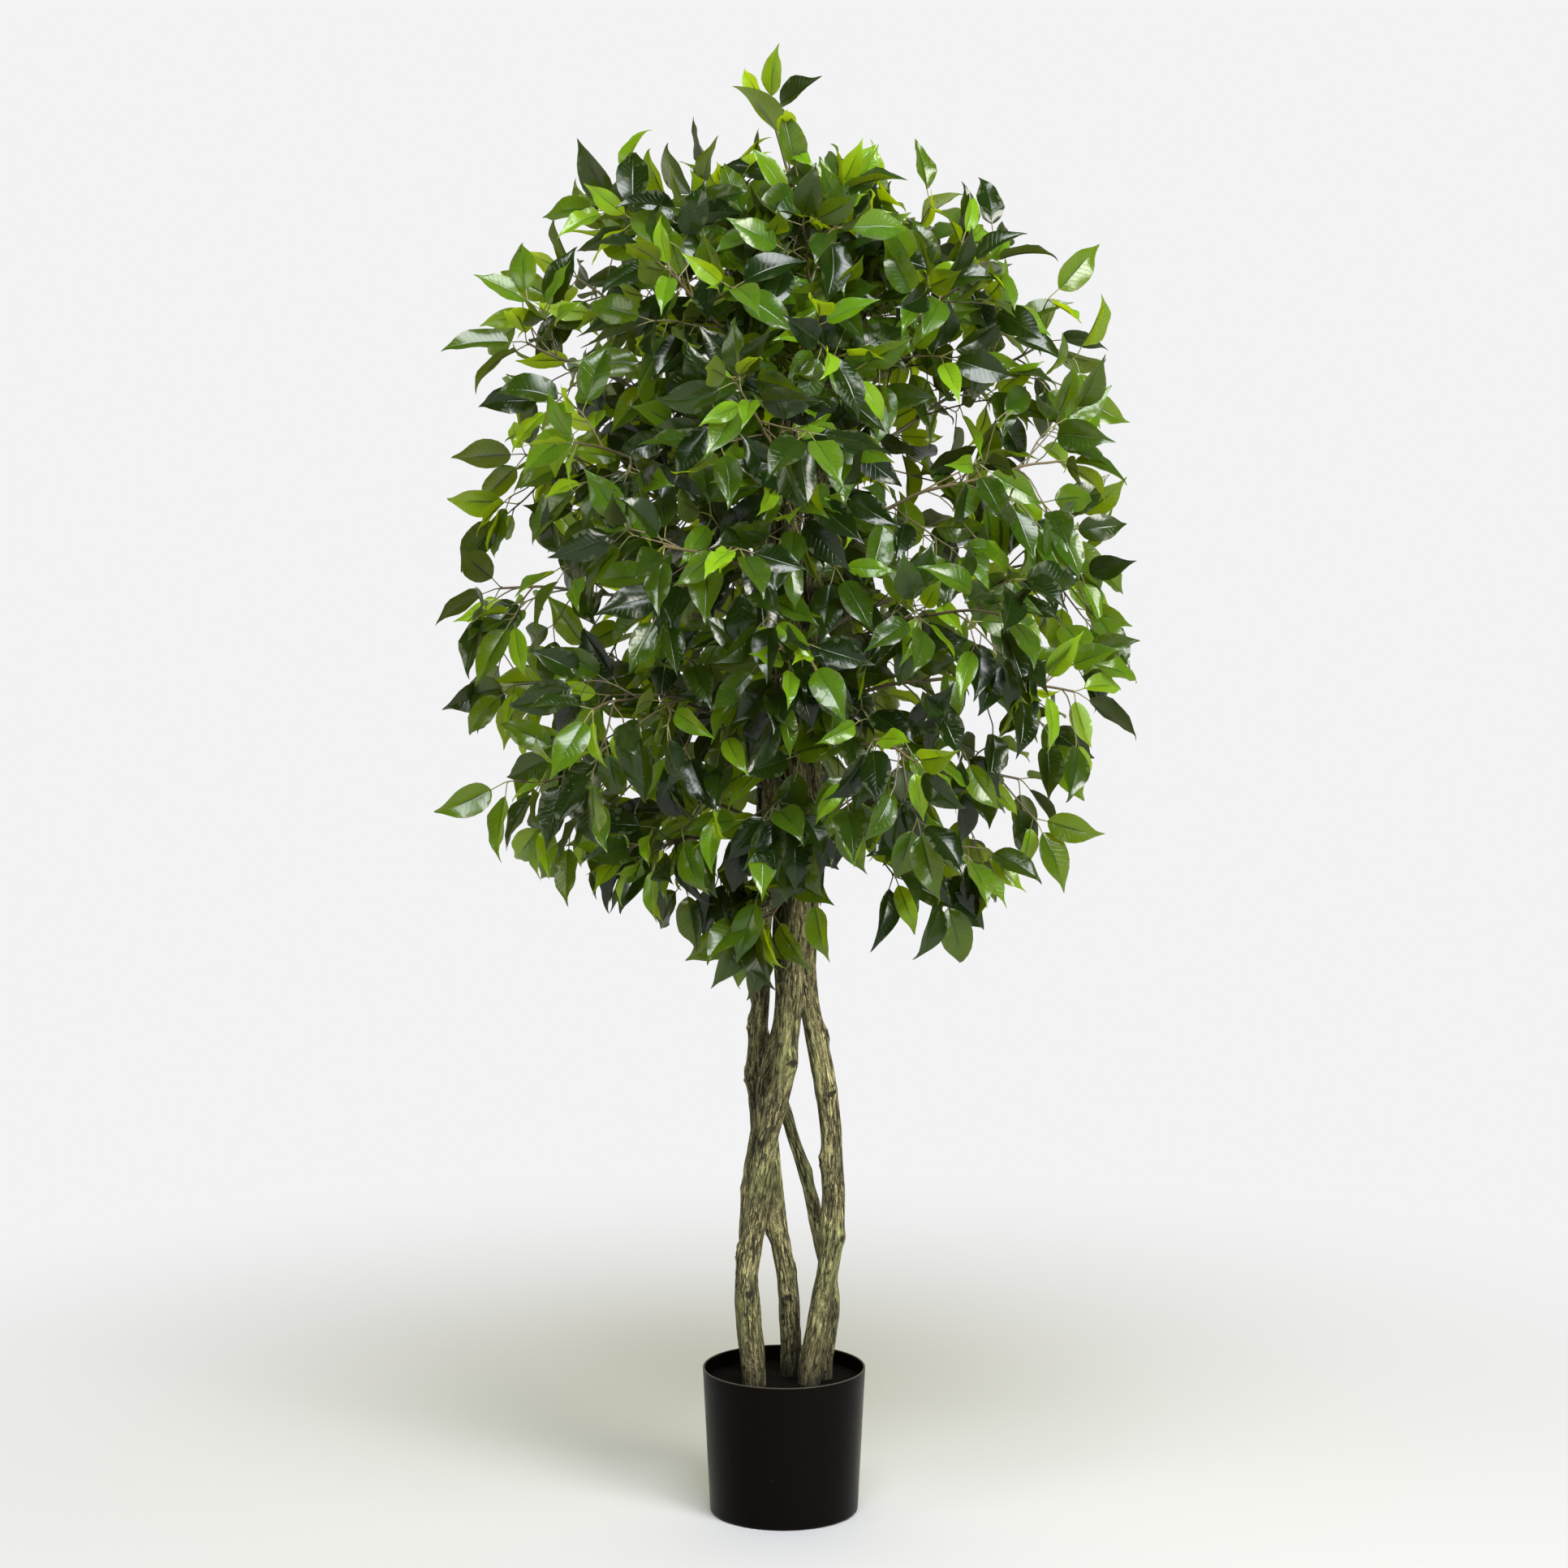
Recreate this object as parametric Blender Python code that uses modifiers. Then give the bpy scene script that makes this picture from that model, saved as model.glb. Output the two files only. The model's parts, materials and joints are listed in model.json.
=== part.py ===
"""A ficus tree with five twined stems in a plain round pot, in metres, +Z up.

The pot's underside is at z = 0 and its axis is the Z axis. The front, which the
open side of the twined stems faces, is -Y. Every leafy spray has its own wire
stem, which stands in a blind socket drilled in one of the five trunks, and the
trunks stand in plain holes in the fill.
"""

import math
import random

import bmesh
import bpy
from mathutils import Quaternion, Vector
from mathutils.bvhtree import BVHTree

# Pot and fill
POT_HEIGHT = 0.164
POT_TOP_RADIUS = 0.0905
POT_FOOT_RADIUS = 0.0825
POT_WALL = 0.0022
POT_FLOOR = 0.0035
FOOT_ROUNDING = 0.0035
RIM_BEVEL = 0.0006
FILL_TOP = 0.150
ROUND_SEGMENTS = 32
SHARP_ANGLE = math.radians(40)
MERGE_DISTANCE = 0.00001

# Trunks
SEAT_GAP = 0.0003
TRUNK_FOOT = 0.022
TRUNK_STEP = 0.080
TRUNK_SIDES_SETTING = 2
TRUNK_SIDES = 2 * TRUNK_SIDES_SETTING + 4
KNOB_SIDES = 5
KNOB_RADIUS = 0.0068
KNOB_LENGTH = 0.0125
KNOB_TIP_SHARE = 0.55
KNOB_SUNK_SHARE = 0.25
KNOB_RISE = 0.35
SWELL = {"share": 0.05, "per_metre": 41, "shift": 9, "start": 8}

# Each route is the centre line from the fill upward, and the radii are those of
# its foot and its top.
TRUNKS = {
    "trunk_front_left": {
        "route": [
            (-0.033, -0.022, 0.156), (-0.038, -0.024, 0.198), (-0.0415, -0.026, 0.263),
            (-0.032, -0.028, 0.333), (-0.017, -0.029, 0.429), (-0.001, -0.028, 0.498),
            (0.010, -0.020, 0.600), (0.018, -0.017, 0.750), (0.012, -0.016, 0.900),
            (0.008, -0.012, 1.050), (0.006, -0.007, 1.230),
        ],
        "radii": (0.0132, 0.0098),
        "knobs": [(0.256, -80), (0.300, 185), (0.425, -120), (0.515, -60), (0.582, 20)],
    },
    "trunk_right": {
        "route": [
            (0.028, -0.014, 0.156), (0.038, -0.014, 0.216), (0.0495, -0.013, 0.286),
            (0.054, -0.011, 0.340), (0.052, -0.008, 0.429), (0.043, -0.004, 0.498),
            (0.031, 0.001, 0.557), (0.024, 0.008, 0.618), (0.028, 0.010, 0.720),
            (0.030, 0.005, 0.880), (0.031, 0.004, 1.050), (0.036, 0.004, 1.320),
        ],
        "radii": (0.0130, 0.0095),
        "knobs": [(0.315, -40), (0.400, 200), (0.475, -70), (0.538, -10)],
    },
    "trunk_middle": {
        "route": [
            (0.008, 0.022, 0.156), (0.004, 0.022, 0.251), (-0.009, 0.016, 0.333),
            (-0.017, 0.004, 0.420), (-0.019, 0.002, 0.480), (-0.001, 0.006, 0.5575),
            (-0.002, 0.012, 0.650), (0.002, 0.016, 0.750), (0.005, 0.018, 0.900),
            (0.009, 0.016, 1.100),
        ],
        "radii": (0.0120, 0.0090),
        "knobs": [(0.240, -90), (0.318, 180)],
    },
    "trunk_back_left": {
        "route": [
            (-0.033, 0.023, 0.156), (-0.040, 0.026, 0.263), (-0.035, 0.028, 0.370),
            (-0.028, 0.025, 0.430), (-0.030, 0.024, 0.500), (-0.026, 0.021, 0.575),
            (-0.025, 0.005, 0.650), (-0.016, -0.008, 0.730), (-0.014, -0.006, 0.900),
            (-0.013, -0.001, 1.050), (-0.013, 0.004, 1.170),
        ],
        "radii": (0.0118, 0.0085),
        "knobs": [(0.490, 180), (0.548, 175)],
    },
    "trunk_thin": {
        "route": [
            (0.045, 0.007, 0.156), (0.054, 0.014, 0.235), (0.042, 0.020, 0.292),
            (0.028, 0.024, 0.361), (0.0036, 0.035, 0.439), (-0.022, 0.045, 0.530),
            (-0.035, 0.038, 0.589), (-0.036, 0.025, 0.640), (-0.027, 0.015, 0.730),
            (-0.022, 0.019, 0.950),
        ],
        "radii": (0.0088, 0.0042),
        "knobs": [(0.272, 0)],
    },
}
# Trunks that are thick enough to be drilled, and how far below its top each may be
DRILLED = ["trunk_front_left", "trunk_right", "trunk_middle", "trunk_back_left"]
DRILL_BELOW_TOP = 0.015
CUTTER_LENGTH = 0.046

# Where the stems of the sprays end that make the crown's outline, seen from the
# front: left side, right side and top
OUTLINE_ENDS = [
    (-0.158, 0.060, 0.782), (-0.258, -0.080, 0.832), (-0.297, 0.090, 0.914),
    (-0.304, -0.060, 1.040), (-0.285, 0.080, 1.172), (-0.274, -0.070, 1.300),
    (-0.226, 0.090, 1.366), (-0.160, -0.060, 1.430), (-0.090, 0.050, 1.446),
    (0.195, -0.070, 0.752), (0.262, 0.090, 0.812), (0.312, -0.080, 0.928),
    (0.318, 0.060, 1.056), (0.292, -0.080, 1.176), (0.286, 0.070, 1.296),
    (0.212, -0.070, 1.380), (0.140, 0.070, 1.412), (0.050, -0.030, 1.450),
    (-0.012, 0.000, 1.548),
]
# Crown radius at the stems' ends by height, for the sprays at the front and back
CROWN_HEIGHTS = (0.74, 0.82, 0.92, 1.04, 1.18, 1.30, 1.38, 1.44)
CROWN_RADII = (0.17, 0.25, 0.29, 0.30, 0.29, 0.27, 0.21, 0.09)
FACE_SPRAYS = 25
FACE_SPREAD = 58
FACE_TURN_STEP = 0.382
BACK_TURN_SHIFT = 0.2
HEIGHT_SCATTER = 0.012
REACH_SCATTER = (0.95, 1.05)
SHORT_EVERY = 3
SHORT_SPREAD = 20
SHORT_REACH = 0.62
LOW_SPRAY_END = (-0.015, -0.062, 0.684)
LOW_SPRAY_ROOT = 0.700
ROOT_HEIGHTS = (0.735, 1.300)
END_HEIGHTS = (0.742, 1.548)
SPRAY_SEED = 310
# Sprays that are drawn with a seed of their own, by their place in the list
DRAWN_AGAIN = {9: 1006, 11: 1007, 38: 1003}

# Sizes of a spray's wires and leaves. A leaf is (length, width, stalk), and the
# blade's outline is (place along the leaf, half width as a share of the widest).
SOCKET_DEPTH_PAST_AXIS = 0.002
SOCKET_STRAIGHT = 0.021
STEM_RADII = (0.0024, 0.0013)
SHOOT_RADII = (0.0008, 0.0010, 0.0009)
STALK_RADIUS = 0.0008
STALK_FOOT_SHARE = 0.45
MATURE_LEAF = (0.068, 0.037, 0.019)
YOUNG_LEAF = (0.058, 0.025, 0.014)
MATURE_OUTLINE = ((0.25, 0.90), (0.56, 0.92), (0.84, 0.24))
YOUNG_OUTLINE = ((0.36, 1.00), (0.80, 0.32))
RIDGE = 0.0018
RIDGE_LEFT_AT_TIP = 0.25
EDGE_WAVE = 0.0009
CLEARANCE = 0.0006

# How the wires and leaves grow. A pair is the range of a random draw. Shares of
# a direction are mixed and then brought to length one.
STEM = {
    "climb": (18, 42), "droop": 0.62, "droop_power": 0.8, "start": 0.34, "end": 0.30,
    "arrive_out": 0.5, "arrive_up": 0.5,
}
SHOOT_PLACES = (0.16, 0.30, 0.44, 0.58, 0.72, 0.86)
BUILT_SHOOTS = (0, 3)
SHOOT_LENGTHS = (0.095, 0.055)
SHOOT_TURN = math.radians(137.5)
SHOOT = {
    "angle": (38, 62), "scatter": (0.8, 1.2), "full_reach": 0.25, "reach_share": (0.45, 1.1),
    "rise": 0.12, "droop": 0.75, "arrive_along": 0.8, "arrive_out": 0.25, "arrive_droop": 0.35,
    "start": 0.35, "end": 0.30,
}
EXTRA_LEAF = {"place": 0.5, "along": 0.6, "aside": 0.8, "young": 0.2}
CLUSTER = {
    "roll": 1.5, "scatter": 0.15, "along": 0.75, "spread": (0.75, 1.15), "tilt": 0.3,
    "set_back": (0.001, 0.006), "young_ahead": 0.3, "young_aside": 0.28,
}
LEAF = {
    "size": (0.88, 1.10), "width": (0.93, 1.05), "stalk": (0.8, 1.15), "bend": (0.15, 0.85),
    "face_up": 0.4, "face_out": 0.7, "face_scatter": 0.9,
}

UP = Vector((0, 0, 1))
TOP_SPRAY_OUT = Vector((0.2, -1, 0))
NEAR_AXIS = 0.03
NEAR_UPRIGHT = 0.2


def clear_scene():
    for obj in list(bpy.data.objects):
        bpy.data.objects.remove(obj, do_unlink=True)


def make_collection(name):
    collection = bpy.data.collections.new(name)
    bpy.context.scene.collection.children.link(collection)
    return collection


def make_material(name, colour, roughness):
    material = bpy.data.materials.new(name)
    material.use_nodes = True
    shader = material.node_tree.nodes["Principled BSDF"]
    shader.inputs["Base Color"].default_value = (*colour, 1)
    shader.inputs["Roughness"].default_value = roughness
    shader.inputs["Metallic"].default_value = 0
    return material


def object_from_bmesh(name, shape, collection, material=None):
    mesh = bpy.data.meshes.new(name)
    shape.to_mesh(mesh)
    shape.free()
    obj = bpy.data.objects.new(name, mesh)
    if material:
        mesh.materials.append(material)
    collection.objects.link(obj)
    return obj


def shade_round(obj):
    obj.data.shade_smooth()
    obj.data.set_sharp_from_angle(angle=SHARP_ANGLE)


def apply_boolean(obj, operation, collection, solver):
    """Cuts or joins every object of the collection at once, and keeps the result."""
    modifier = obj.modifiers.new(operation.title(), "BOOLEAN")
    modifier.operation = operation
    modifier.operand_type = "COLLECTION"
    modifier.collection = collection
    modifier.solver = solver
    graph = bpy.context.evaluated_depsgraph_get()
    mesh = bpy.data.meshes.new_from_object(obj.evaluated_get(graph))
    obj.modifiers.clear()
    old = obj.data
    obj.data = mesh
    bpy.data.meshes.remove(old)


def keep_main_body(obj):
    """Fills hollows that fusing sealed and drops loose scraps, by keeping the largest body."""
    shape = bmesh.new()
    shape.from_mesh(obj.data)
    waiting, bodies = set(shape.verts), []
    while waiting:
        body, edge = set(), [waiting.pop()]
        while edge:
            vertex = edge.pop()
            body.add(vertex)
            for link in vertex.link_edges:
                other = link.other_vert(vertex)
                if other in waiting:
                    waiting.remove(other)
                    edge.append(other)
        bodies.append(body)
    bodies.sort(key=len)
    for body in bodies[:-1]:
        bmesh.ops.delete(shape, geom=list(body), context="VERTS")
    shape.to_mesh(obj.data)
    shape.free()


def empty_collection(collection):
    for obj in list(collection.objects):
        bpy.data.objects.remove(obj, do_unlink=True)


def turned(name, profile, collection, material):
    """A body of revolution from (radius, z) points that run down its outer side."""
    mesh = bpy.data.meshes.new(name)
    edges = [(i, i + 1) for i in range(len(profile) - 1)]
    mesh.from_pydata([(r, 0, z) for r, z in profile], edges, [])
    obj = bpy.data.objects.new(name, mesh)
    collection.objects.link(obj)
    mesh.materials.append(material)
    screw = obj.modifiers.new("Turn", "SCREW")
    screw.axis = "Z"
    screw.steps = ROUND_SEGMENTS
    screw.render_steps = ROUND_SEGMENTS
    screw.use_merge_vertices = True
    screw.merge_threshold = MERGE_DISTANCE
    return obj


def tube(name, points, radii, collection):
    """A round bar through the points, as a closed mesh."""
    curve = bpy.data.curves.new(name, "CURVE")
    curve.dimensions = "3D"
    curve.bevel_depth = 1
    curve.bevel_resolution = TRUNK_SIDES_SETTING
    curve.use_fill_caps = True
    spline = curve.splines.new("POLY")
    spline.points.add(len(points) - 1)
    for knot, point, radius in zip(spline.points, points, radii):
        knot.co = (*point, 1)
        knot.radius = radius
    bar = bpy.data.objects.new(name + "_curve", curve)
    collection.objects.link(bar)
    graph = bpy.context.evaluated_depsgraph_get()
    mesh = bpy.data.meshes.new_from_object(bar.evaluated_get(graph))
    mesh.name = name
    obj = bpy.data.objects.new(name, mesh)
    obj.matrix_world = bar.matrix_world
    collection.objects.link(obj)
    bpy.data.objects.remove(bar, do_unlink=True)
    shape = bmesh.new()
    shape.from_mesh(mesh)
    bmesh.ops.remove_doubles(shape, verts=shape.verts, dist=MERGE_DISTANCE)
    bmesh.ops.recalc_face_normals(shape, faces=shape.faces)
    shape.to_mesh(mesh)
    shape.free()
    return obj


# Trunks

def trunk_centre(name, height):
    """Where the trunk's centre line is at this height, on a smooth curve through its route."""
    route = [Vector(point) for point in TRUNKS[name]["route"]]
    if height <= route[0].z:
        return Vector((route[0].x, route[0].y, height))
    last = len(route) - 2
    i = next((k for k in range(last) if height <= route[k + 1].z), last)
    a, b = route[i], route[i + 1]
    rise = b.z - a.z
    t = (height - a.z) / rise
    before, after = route[max(i - 1, 0)], route[min(i + 2, last + 1)]
    slope_a = (b - before) * (rise / (b.z - before.z)) if i else UP * rise
    slope_b = (after - a) * (rise / (after.z - a.z))
    return (
        a * (2 * t**3 - 3 * t**2 + 1)
        + slope_a * (t**3 - 2 * t**2 + t)
        + b * (3 * t**2 - 2 * t**3)
        + slope_b * (t**3 - t**2)
    )


def trunk_radius(name, height):
    """The trunk tapers upward, with a slight swell every so often."""
    foot, top = TRUNKS[name]["radii"]
    end = TRUNKS[name]["route"][-1][2]
    share = min(max((height - FILL_TOP) / (end - FILL_TOP), 0), 1)
    phase = SWELL["per_metre"] * height + SWELL["shift"] * foot / top
    swell = 1 + SWELL["share"] * math.sin(phase) * min(share * SWELL["start"], 1)
    return (foot + (top - foot) * share) * swell


def trunk_heights(name):
    start, end = TRUNKS[name]["route"][0][2], TRUNKS[name]["route"][-1][2]
    steps = round((end - start) / TRUNK_STEP)
    return [start + (end - start) * i / steps for i in range(steps + 1)]


def knob_on(name, height, angle, collection):
    """The stub of a cut side branch, sunk into the trunk."""
    angle = math.radians(angle)
    out = Vector((math.cos(angle), math.sin(angle), KNOB_RISE)).normalized()
    shape = bmesh.new()
    bmesh.ops.create_cone(
        shape, cap_ends=True, segments=KNOB_SIDES, radius1=KNOB_RADIUS,
        radius2=KNOB_TIP_SHARE * KNOB_RADIUS, depth=KNOB_LENGTH,
    )
    bmesh.ops.rotate(shape, verts=shape.verts, matrix=UP.rotation_difference(out).to_matrix())
    reach = trunk_radius(name, height) - KNOB_SUNK_SHARE * KNOB_LENGTH
    middle = trunk_centre(name, height) + out * reach
    bmesh.ops.translate(shape, verts=shape.verts, vec=middle)
    return object_from_bmesh("knob", shape, collection)


def build_trunk(name, sockets, collection, helpers, material):
    """The bark-covered bar with its knobs, drilled for the sprays that stand in it."""
    heights = [TRUNK_FOOT] + trunk_heights(name)
    points = [trunk_centre(name, height) for height in heights]
    trunk = tube(name, points, [trunk_radius(name, height) for height in heights], collection)
    trunk.data.materials.append(material)
    for height, angle in TRUNKS[name]["knobs"]:
        knob_on(name, height, angle, helpers)
    apply_boolean(trunk, "UNION", helpers, "EXACT")
    empty_collection(helpers)
    for start, aim, normal in sockets:
        shape = bmesh.new()
        radius = STEM_RADII[0] + 2 * SEAT_GAP
        ends = (start - aim * SEAT_GAP, start + aim * CUTTER_LENGTH)
        loft(shape, [ring(point, aim, normal, radius) for point in ends])
        object_from_bmesh("socket", shape, helpers)
    if sockets:
        apply_boolean(trunk, "DIFFERENCE", helpers, "EXACT")
    empty_collection(helpers)
    shade_round(trunk)
    return trunk


def build_pot(collection, material):
    inner_top = POT_TOP_RADIUS - POT_WALL
    inner_foot = POT_FOOT_RADIUS - POT_WALL
    slope = (POT_TOP_RADIUS - POT_FOOT_RADIUS) / POT_HEIGHT
    arc_step = FOOT_ROUNDING * (1 - math.cos(math.pi / 4))
    profile = [
        (0, POT_FLOOR),
        (inner_foot + slope * POT_FLOOR, POT_FLOOR),
        (inner_top, POT_HEIGHT - RIM_BEVEL),
        (inner_top + RIM_BEVEL, POT_HEIGHT),
        (POT_TOP_RADIUS - RIM_BEVEL, POT_HEIGHT),
        (POT_TOP_RADIUS, POT_HEIGHT - RIM_BEVEL),
        (POT_FOOT_RADIUS + slope * FOOT_ROUNDING, FOOT_ROUNDING),
        (POT_FOOT_RADIUS - arc_step, arc_step),
        (POT_FOOT_RADIUS - FOOT_ROUNDING, 0),
        (0, 0),
    ]
    pot = turned("pot", profile, collection, material)
    shade_round(pot)


def build_fill(collection, helpers, material):
    """The dark fill inside the pot, with a plain hole for each trunk."""
    slope = (POT_TOP_RADIUS - POT_FOOT_RADIUS) / POT_HEIGHT
    inner = POT_FOOT_RADIUS - POT_WALL - SEAT_GAP / math.cos(math.pi / ROUND_SEGMENTS)
    floor = POT_FLOOR + SEAT_GAP
    profile = [
        (0, FILL_TOP),
        (inner + slope * FILL_TOP, FILL_TOP),
        (inner + slope * floor, floor),
        (0, floor),
    ]
    fill = turned("fill", profile, collection, material)
    for name in TRUNKS:
        heights = [TRUNK_FOOT - SEAT_GAP] + trunk_heights(name)[:2]
        gap = SEAT_GAP / math.cos(math.pi / TRUNK_SIDES)
        radii = [trunk_radius(name, height) + gap for height in heights]
        tube("hole", [trunk_centre(name, height) for height in heights], radii, helpers)
    apply_boolean(fill, "DIFFERENCE", helpers, "EXACT")
    empty_collection(helpers)
    shade_round(fill)


# The plan of the sprays: wires and leaves as plain values, before any mesh

def bezier(handles, t):
    a, b, c, d = handles
    u = 1 - t
    return a * u**3 + b * (3 * u * u * t) + c * (3 * u * t * t) + d * t**3


def bezier_slope(handles, t):
    a, b, c, d = handles
    u = 1 - t
    return ((b - a) * (3 * u * u) + (c - b) * (6 * u * t) + (d - c) * (3 * t * t)).normalized()


def level_side(aim):
    """A level direction square to aim, or +X where aim is upright."""
    side = aim.cross(UP)
    return side.normalized() if side.length > NEAR_UPRIGHT else Vector((1, 0, 0))


def random_vector(rng):
    return Vector((rng.uniform(-1, 1), rng.uniform(-1, 1), rng.uniform(-1, 1)))


def level_value(height, heights, values):
    """Reads a value off straight lines between the given heights."""
    for i in range(len(heights) - 1):
        if height <= heights[i + 1] or i == len(heights) - 2:
            share = (height - heights[i]) / (heights[i + 1] - heights[i])
            return values[i] + (values[i + 1] - values[i]) * min(max(share, 0), 1)


def spray_ends():
    """Where each spray's stem ends: the outline's first, then those of the front and back."""
    ends = [Vector(end) for end in OUTLINE_ENDS]
    rng = random.Random(SPRAY_SEED)
    low, high = CROWN_HEIGHTS[0], CROWN_HEIGHTS[-1]
    for i in range(FACE_SPRAYS):
        height = low + (high - low) * (i + 0.5) / FACE_SPRAYS
        height += rng.uniform(-HEIGHT_SCATTER, HEIGHT_SCATTER)
        side = -1 if i % 2 == 0 else 1
        short = i % SHORT_EVERY == SHORT_EVERY - 1
        turn = (i // 2 * FACE_TURN_STEP + BACK_TURN_SHIFT * (side > 0)) % 1 * 2 - 1
        turn *= SHORT_SPREAD if short else FACE_SPREAD
        angle = math.radians(90 * side + turn)
        radius = level_value(height, CROWN_HEIGHTS, CROWN_RADII)
        radius *= SHORT_REACH if short else rng.uniform(*REACH_SCATTER)
        ends.append(Vector((radius * math.cos(angle), radius * math.sin(angle), height)))
    return ends + [Vector(LOW_SPRAY_END)]


def facing_trunk(height, out):
    """The drilled trunk that stands furthest out in this direction."""
    lowest = height + DRILL_BELOW_TOP
    reaching = [name for name in DRILLED if TRUNKS[name]["route"][-1][2] > lowest]
    return max(reaching, key=lambda name: trunk_centre(name, height).dot(out))


def plan_leaf(rng, start, aim, out, young=False):
    """One leaf on its stalk. out points away from the tree, and the upper face looks there."""
    length, width, stalk = YOUNG_LEAF if young else MATURE_LEAF
    size = rng.uniform(*LEAF["size"])
    facing = UP * LEAF["face_up"] + out * LEAF["face_out"]
    facing += random_vector(rng) * LEAF["face_scatter"]
    return {
        "start": start,
        "aim": aim.normalized(),
        "facing": facing,
        "length": length * size,
        "width": width * size * rng.uniform(*LEAF["width"]),
        "stalk": stalk * rng.uniform(*LEAF["stalk"]),
        "bend": rng.uniform(*LEAF["bend"]),
        "young": young,
    }


def plan_cluster(rng, end, aim, out, droop):
    """The three leaves at the end of a wire: one ahead and one to either side."""
    side = Quaternion(aim, rng.uniform(-CLUSTER["roll"], CLUSTER["roll"])) @ level_side(aim)
    lift = side.cross(aim)
    sag = UP * -droop
    scatter = random_vector(rng) * CLUSTER["scatter"]
    young = rng.random() < CLUSTER["young_ahead"]
    leaves = [plan_leaf(rng, end, aim + sag + scatter, out, young)]
    for sign in (-1, 1):
        spread = rng.uniform(*CLUSTER["spread"])
        tilt = rng.uniform(-CLUSTER["tilt"], CLUSTER["tilt"])
        away = aim * CLUSTER["along"] + side * (sign * spread) + lift * tilt + sag
        back = end - aim * rng.uniform(*CLUSTER["set_back"])
        young = rng.random() < CLUSTER["young_aside"]
        leaves.append(plan_leaf(rng, back, away, out, young))
    return leaves


def plan_shoot(rng, stem, place, turn, droop, length):
    """A side twig with its leaves, starting on the stem at this place, turned round it."""
    start = bezier(stem["handles"], place)
    along = bezier_slope(stem["handles"], place)
    side = Quaternion(along, turn) @ level_side(along)
    angle = math.radians(rng.uniform(*SHOOT["angle"]))
    away = along * math.cos(angle) + side * math.sin(angle)
    out = (stem["out"] + away).normalized()
    end = start + away * length + UP * (length * (SHOOT["rise"] - SHOOT["droop"] * droop))
    aim = (end - start).normalized() * SHOOT["arrive_along"] + stem["out"] * SHOOT["arrive_out"]
    aim = (aim - UP * (SHOOT["arrive_droop"] * droop)).normalized()
    first, last = away * length * SHOOT["start"], aim * length * SHOOT["end"]
    shoot = {"handles": (start, start + first, end - last, end), "out": out}
    shoot["leaves"] = plan_cluster(rng, end, aim, out, droop)
    extra_side = Quaternion(aim, rng.uniform(0, math.tau)) @ level_side(aim)
    extra_away = aim * EXTRA_LEAF["along"] + extra_side * EXTRA_LEAF["aside"] - UP * droop
    foot = bezier(shoot["handles"], EXTRA_LEAF["place"])
    shoot["extra"] = plan_leaf(rng, foot, extra_away, out, rng.random() < EXTRA_LEAF["young"])
    return shoot


def plan_spray(index, end, root_height):
    rng = random.Random(DRAWN_AGAIN.get(index, SPRAY_SEED + 7 * index))
    out = Vector((end.x, end.y, 0))
    out = out.normalized() if out.length > NEAR_AXIS else TOP_SPRAY_OUT.normalized()
    trunk = facing_trunk(root_height, out)
    centre = trunk_centre(trunk, root_height)
    level = min(max((end.z - END_HEIGHTS[0]) / (END_HEIGHTS[1] - END_HEIGHTS[0]), 0), 1)
    climb = math.radians(STEM["climb"][0] + STEM["climb"][1] * level)
    aim = out * math.cos(climb) + UP * math.sin(climb)
    foot = centre + aim * SOCKET_DEPTH_PAST_AXIS
    exit_point = foot + aim * SOCKET_STRAIGHT
    droop = STEM["droop"] * (1 - level) ** STEM["droop_power"]
    reach = (end - exit_point).length
    arrive = (end - exit_point).normalized() + out * STEM["arrive_out"]
    arrive = (arrive + UP * (STEM["arrive_up"] * level - droop)).normalized()
    first, last = aim * reach * STEM["start"], arrive * reach * STEM["end"]
    stem = {"handles": (exit_point, exit_point + first, end - last, end), "out": out}
    stem["leaves"] = plan_cluster(rng, end, arrive, out, droop)
    spray = {"trunk": trunk, "foot": foot, "aim": aim, "stem": stem, "shoots": []}
    turn = rng.uniform(0, math.tau)
    least, most = SHOOT["reach_share"]
    for i, place in enumerate(SHOOT_PLACES):
        share = i / (len(SHOOT_PLACES) - 1)
        length = SHOOT_LENGTHS[0] + (SHOOT_LENGTHS[1] - SHOOT_LENGTHS[0]) * share
        length *= rng.uniform(*SHOOT["scatter"])
        length *= min(max(reach / SHOOT["full_reach"], least), most)
        spray["shoots"].append(plan_shoot(rng, stem, place, turn, droop, length))
        turn += SHOOT_TURN
    return spray


def plan_tree():
    """All sprays. Higher ends have higher roots, evenly spaced up the trunks."""
    ends = spray_ends()
    heights = sorted(end.z for end in ends[:-1])
    low, high = ROOT_HEIGHTS
    sprays = []
    for i, end in enumerate(ends[:-1]):
        root_height = low + (high - low) * heights.index(end.z) / (len(heights) - 1)
        sprays.append(plan_spray(i, end, root_height))
    sprays.append(plan_spray(len(ends) - 1, ends[-1], LOW_SPRAY_ROOT))
    return sprays


# Meshes of a spray: every wire and leaf is a loft of three-cornered sections

def ring(point, along, normal, radius):
    """Three corners round the point: left, right and top."""
    top = (normal - along * normal.dot(along)).normalized()
    side = along.cross(top)
    low = -0.5 * radius
    half = 0.5 * math.sqrt(3) * radius
    return [point - side * half + top * low, point + side * half + top * low, point + top * radius]


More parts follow.
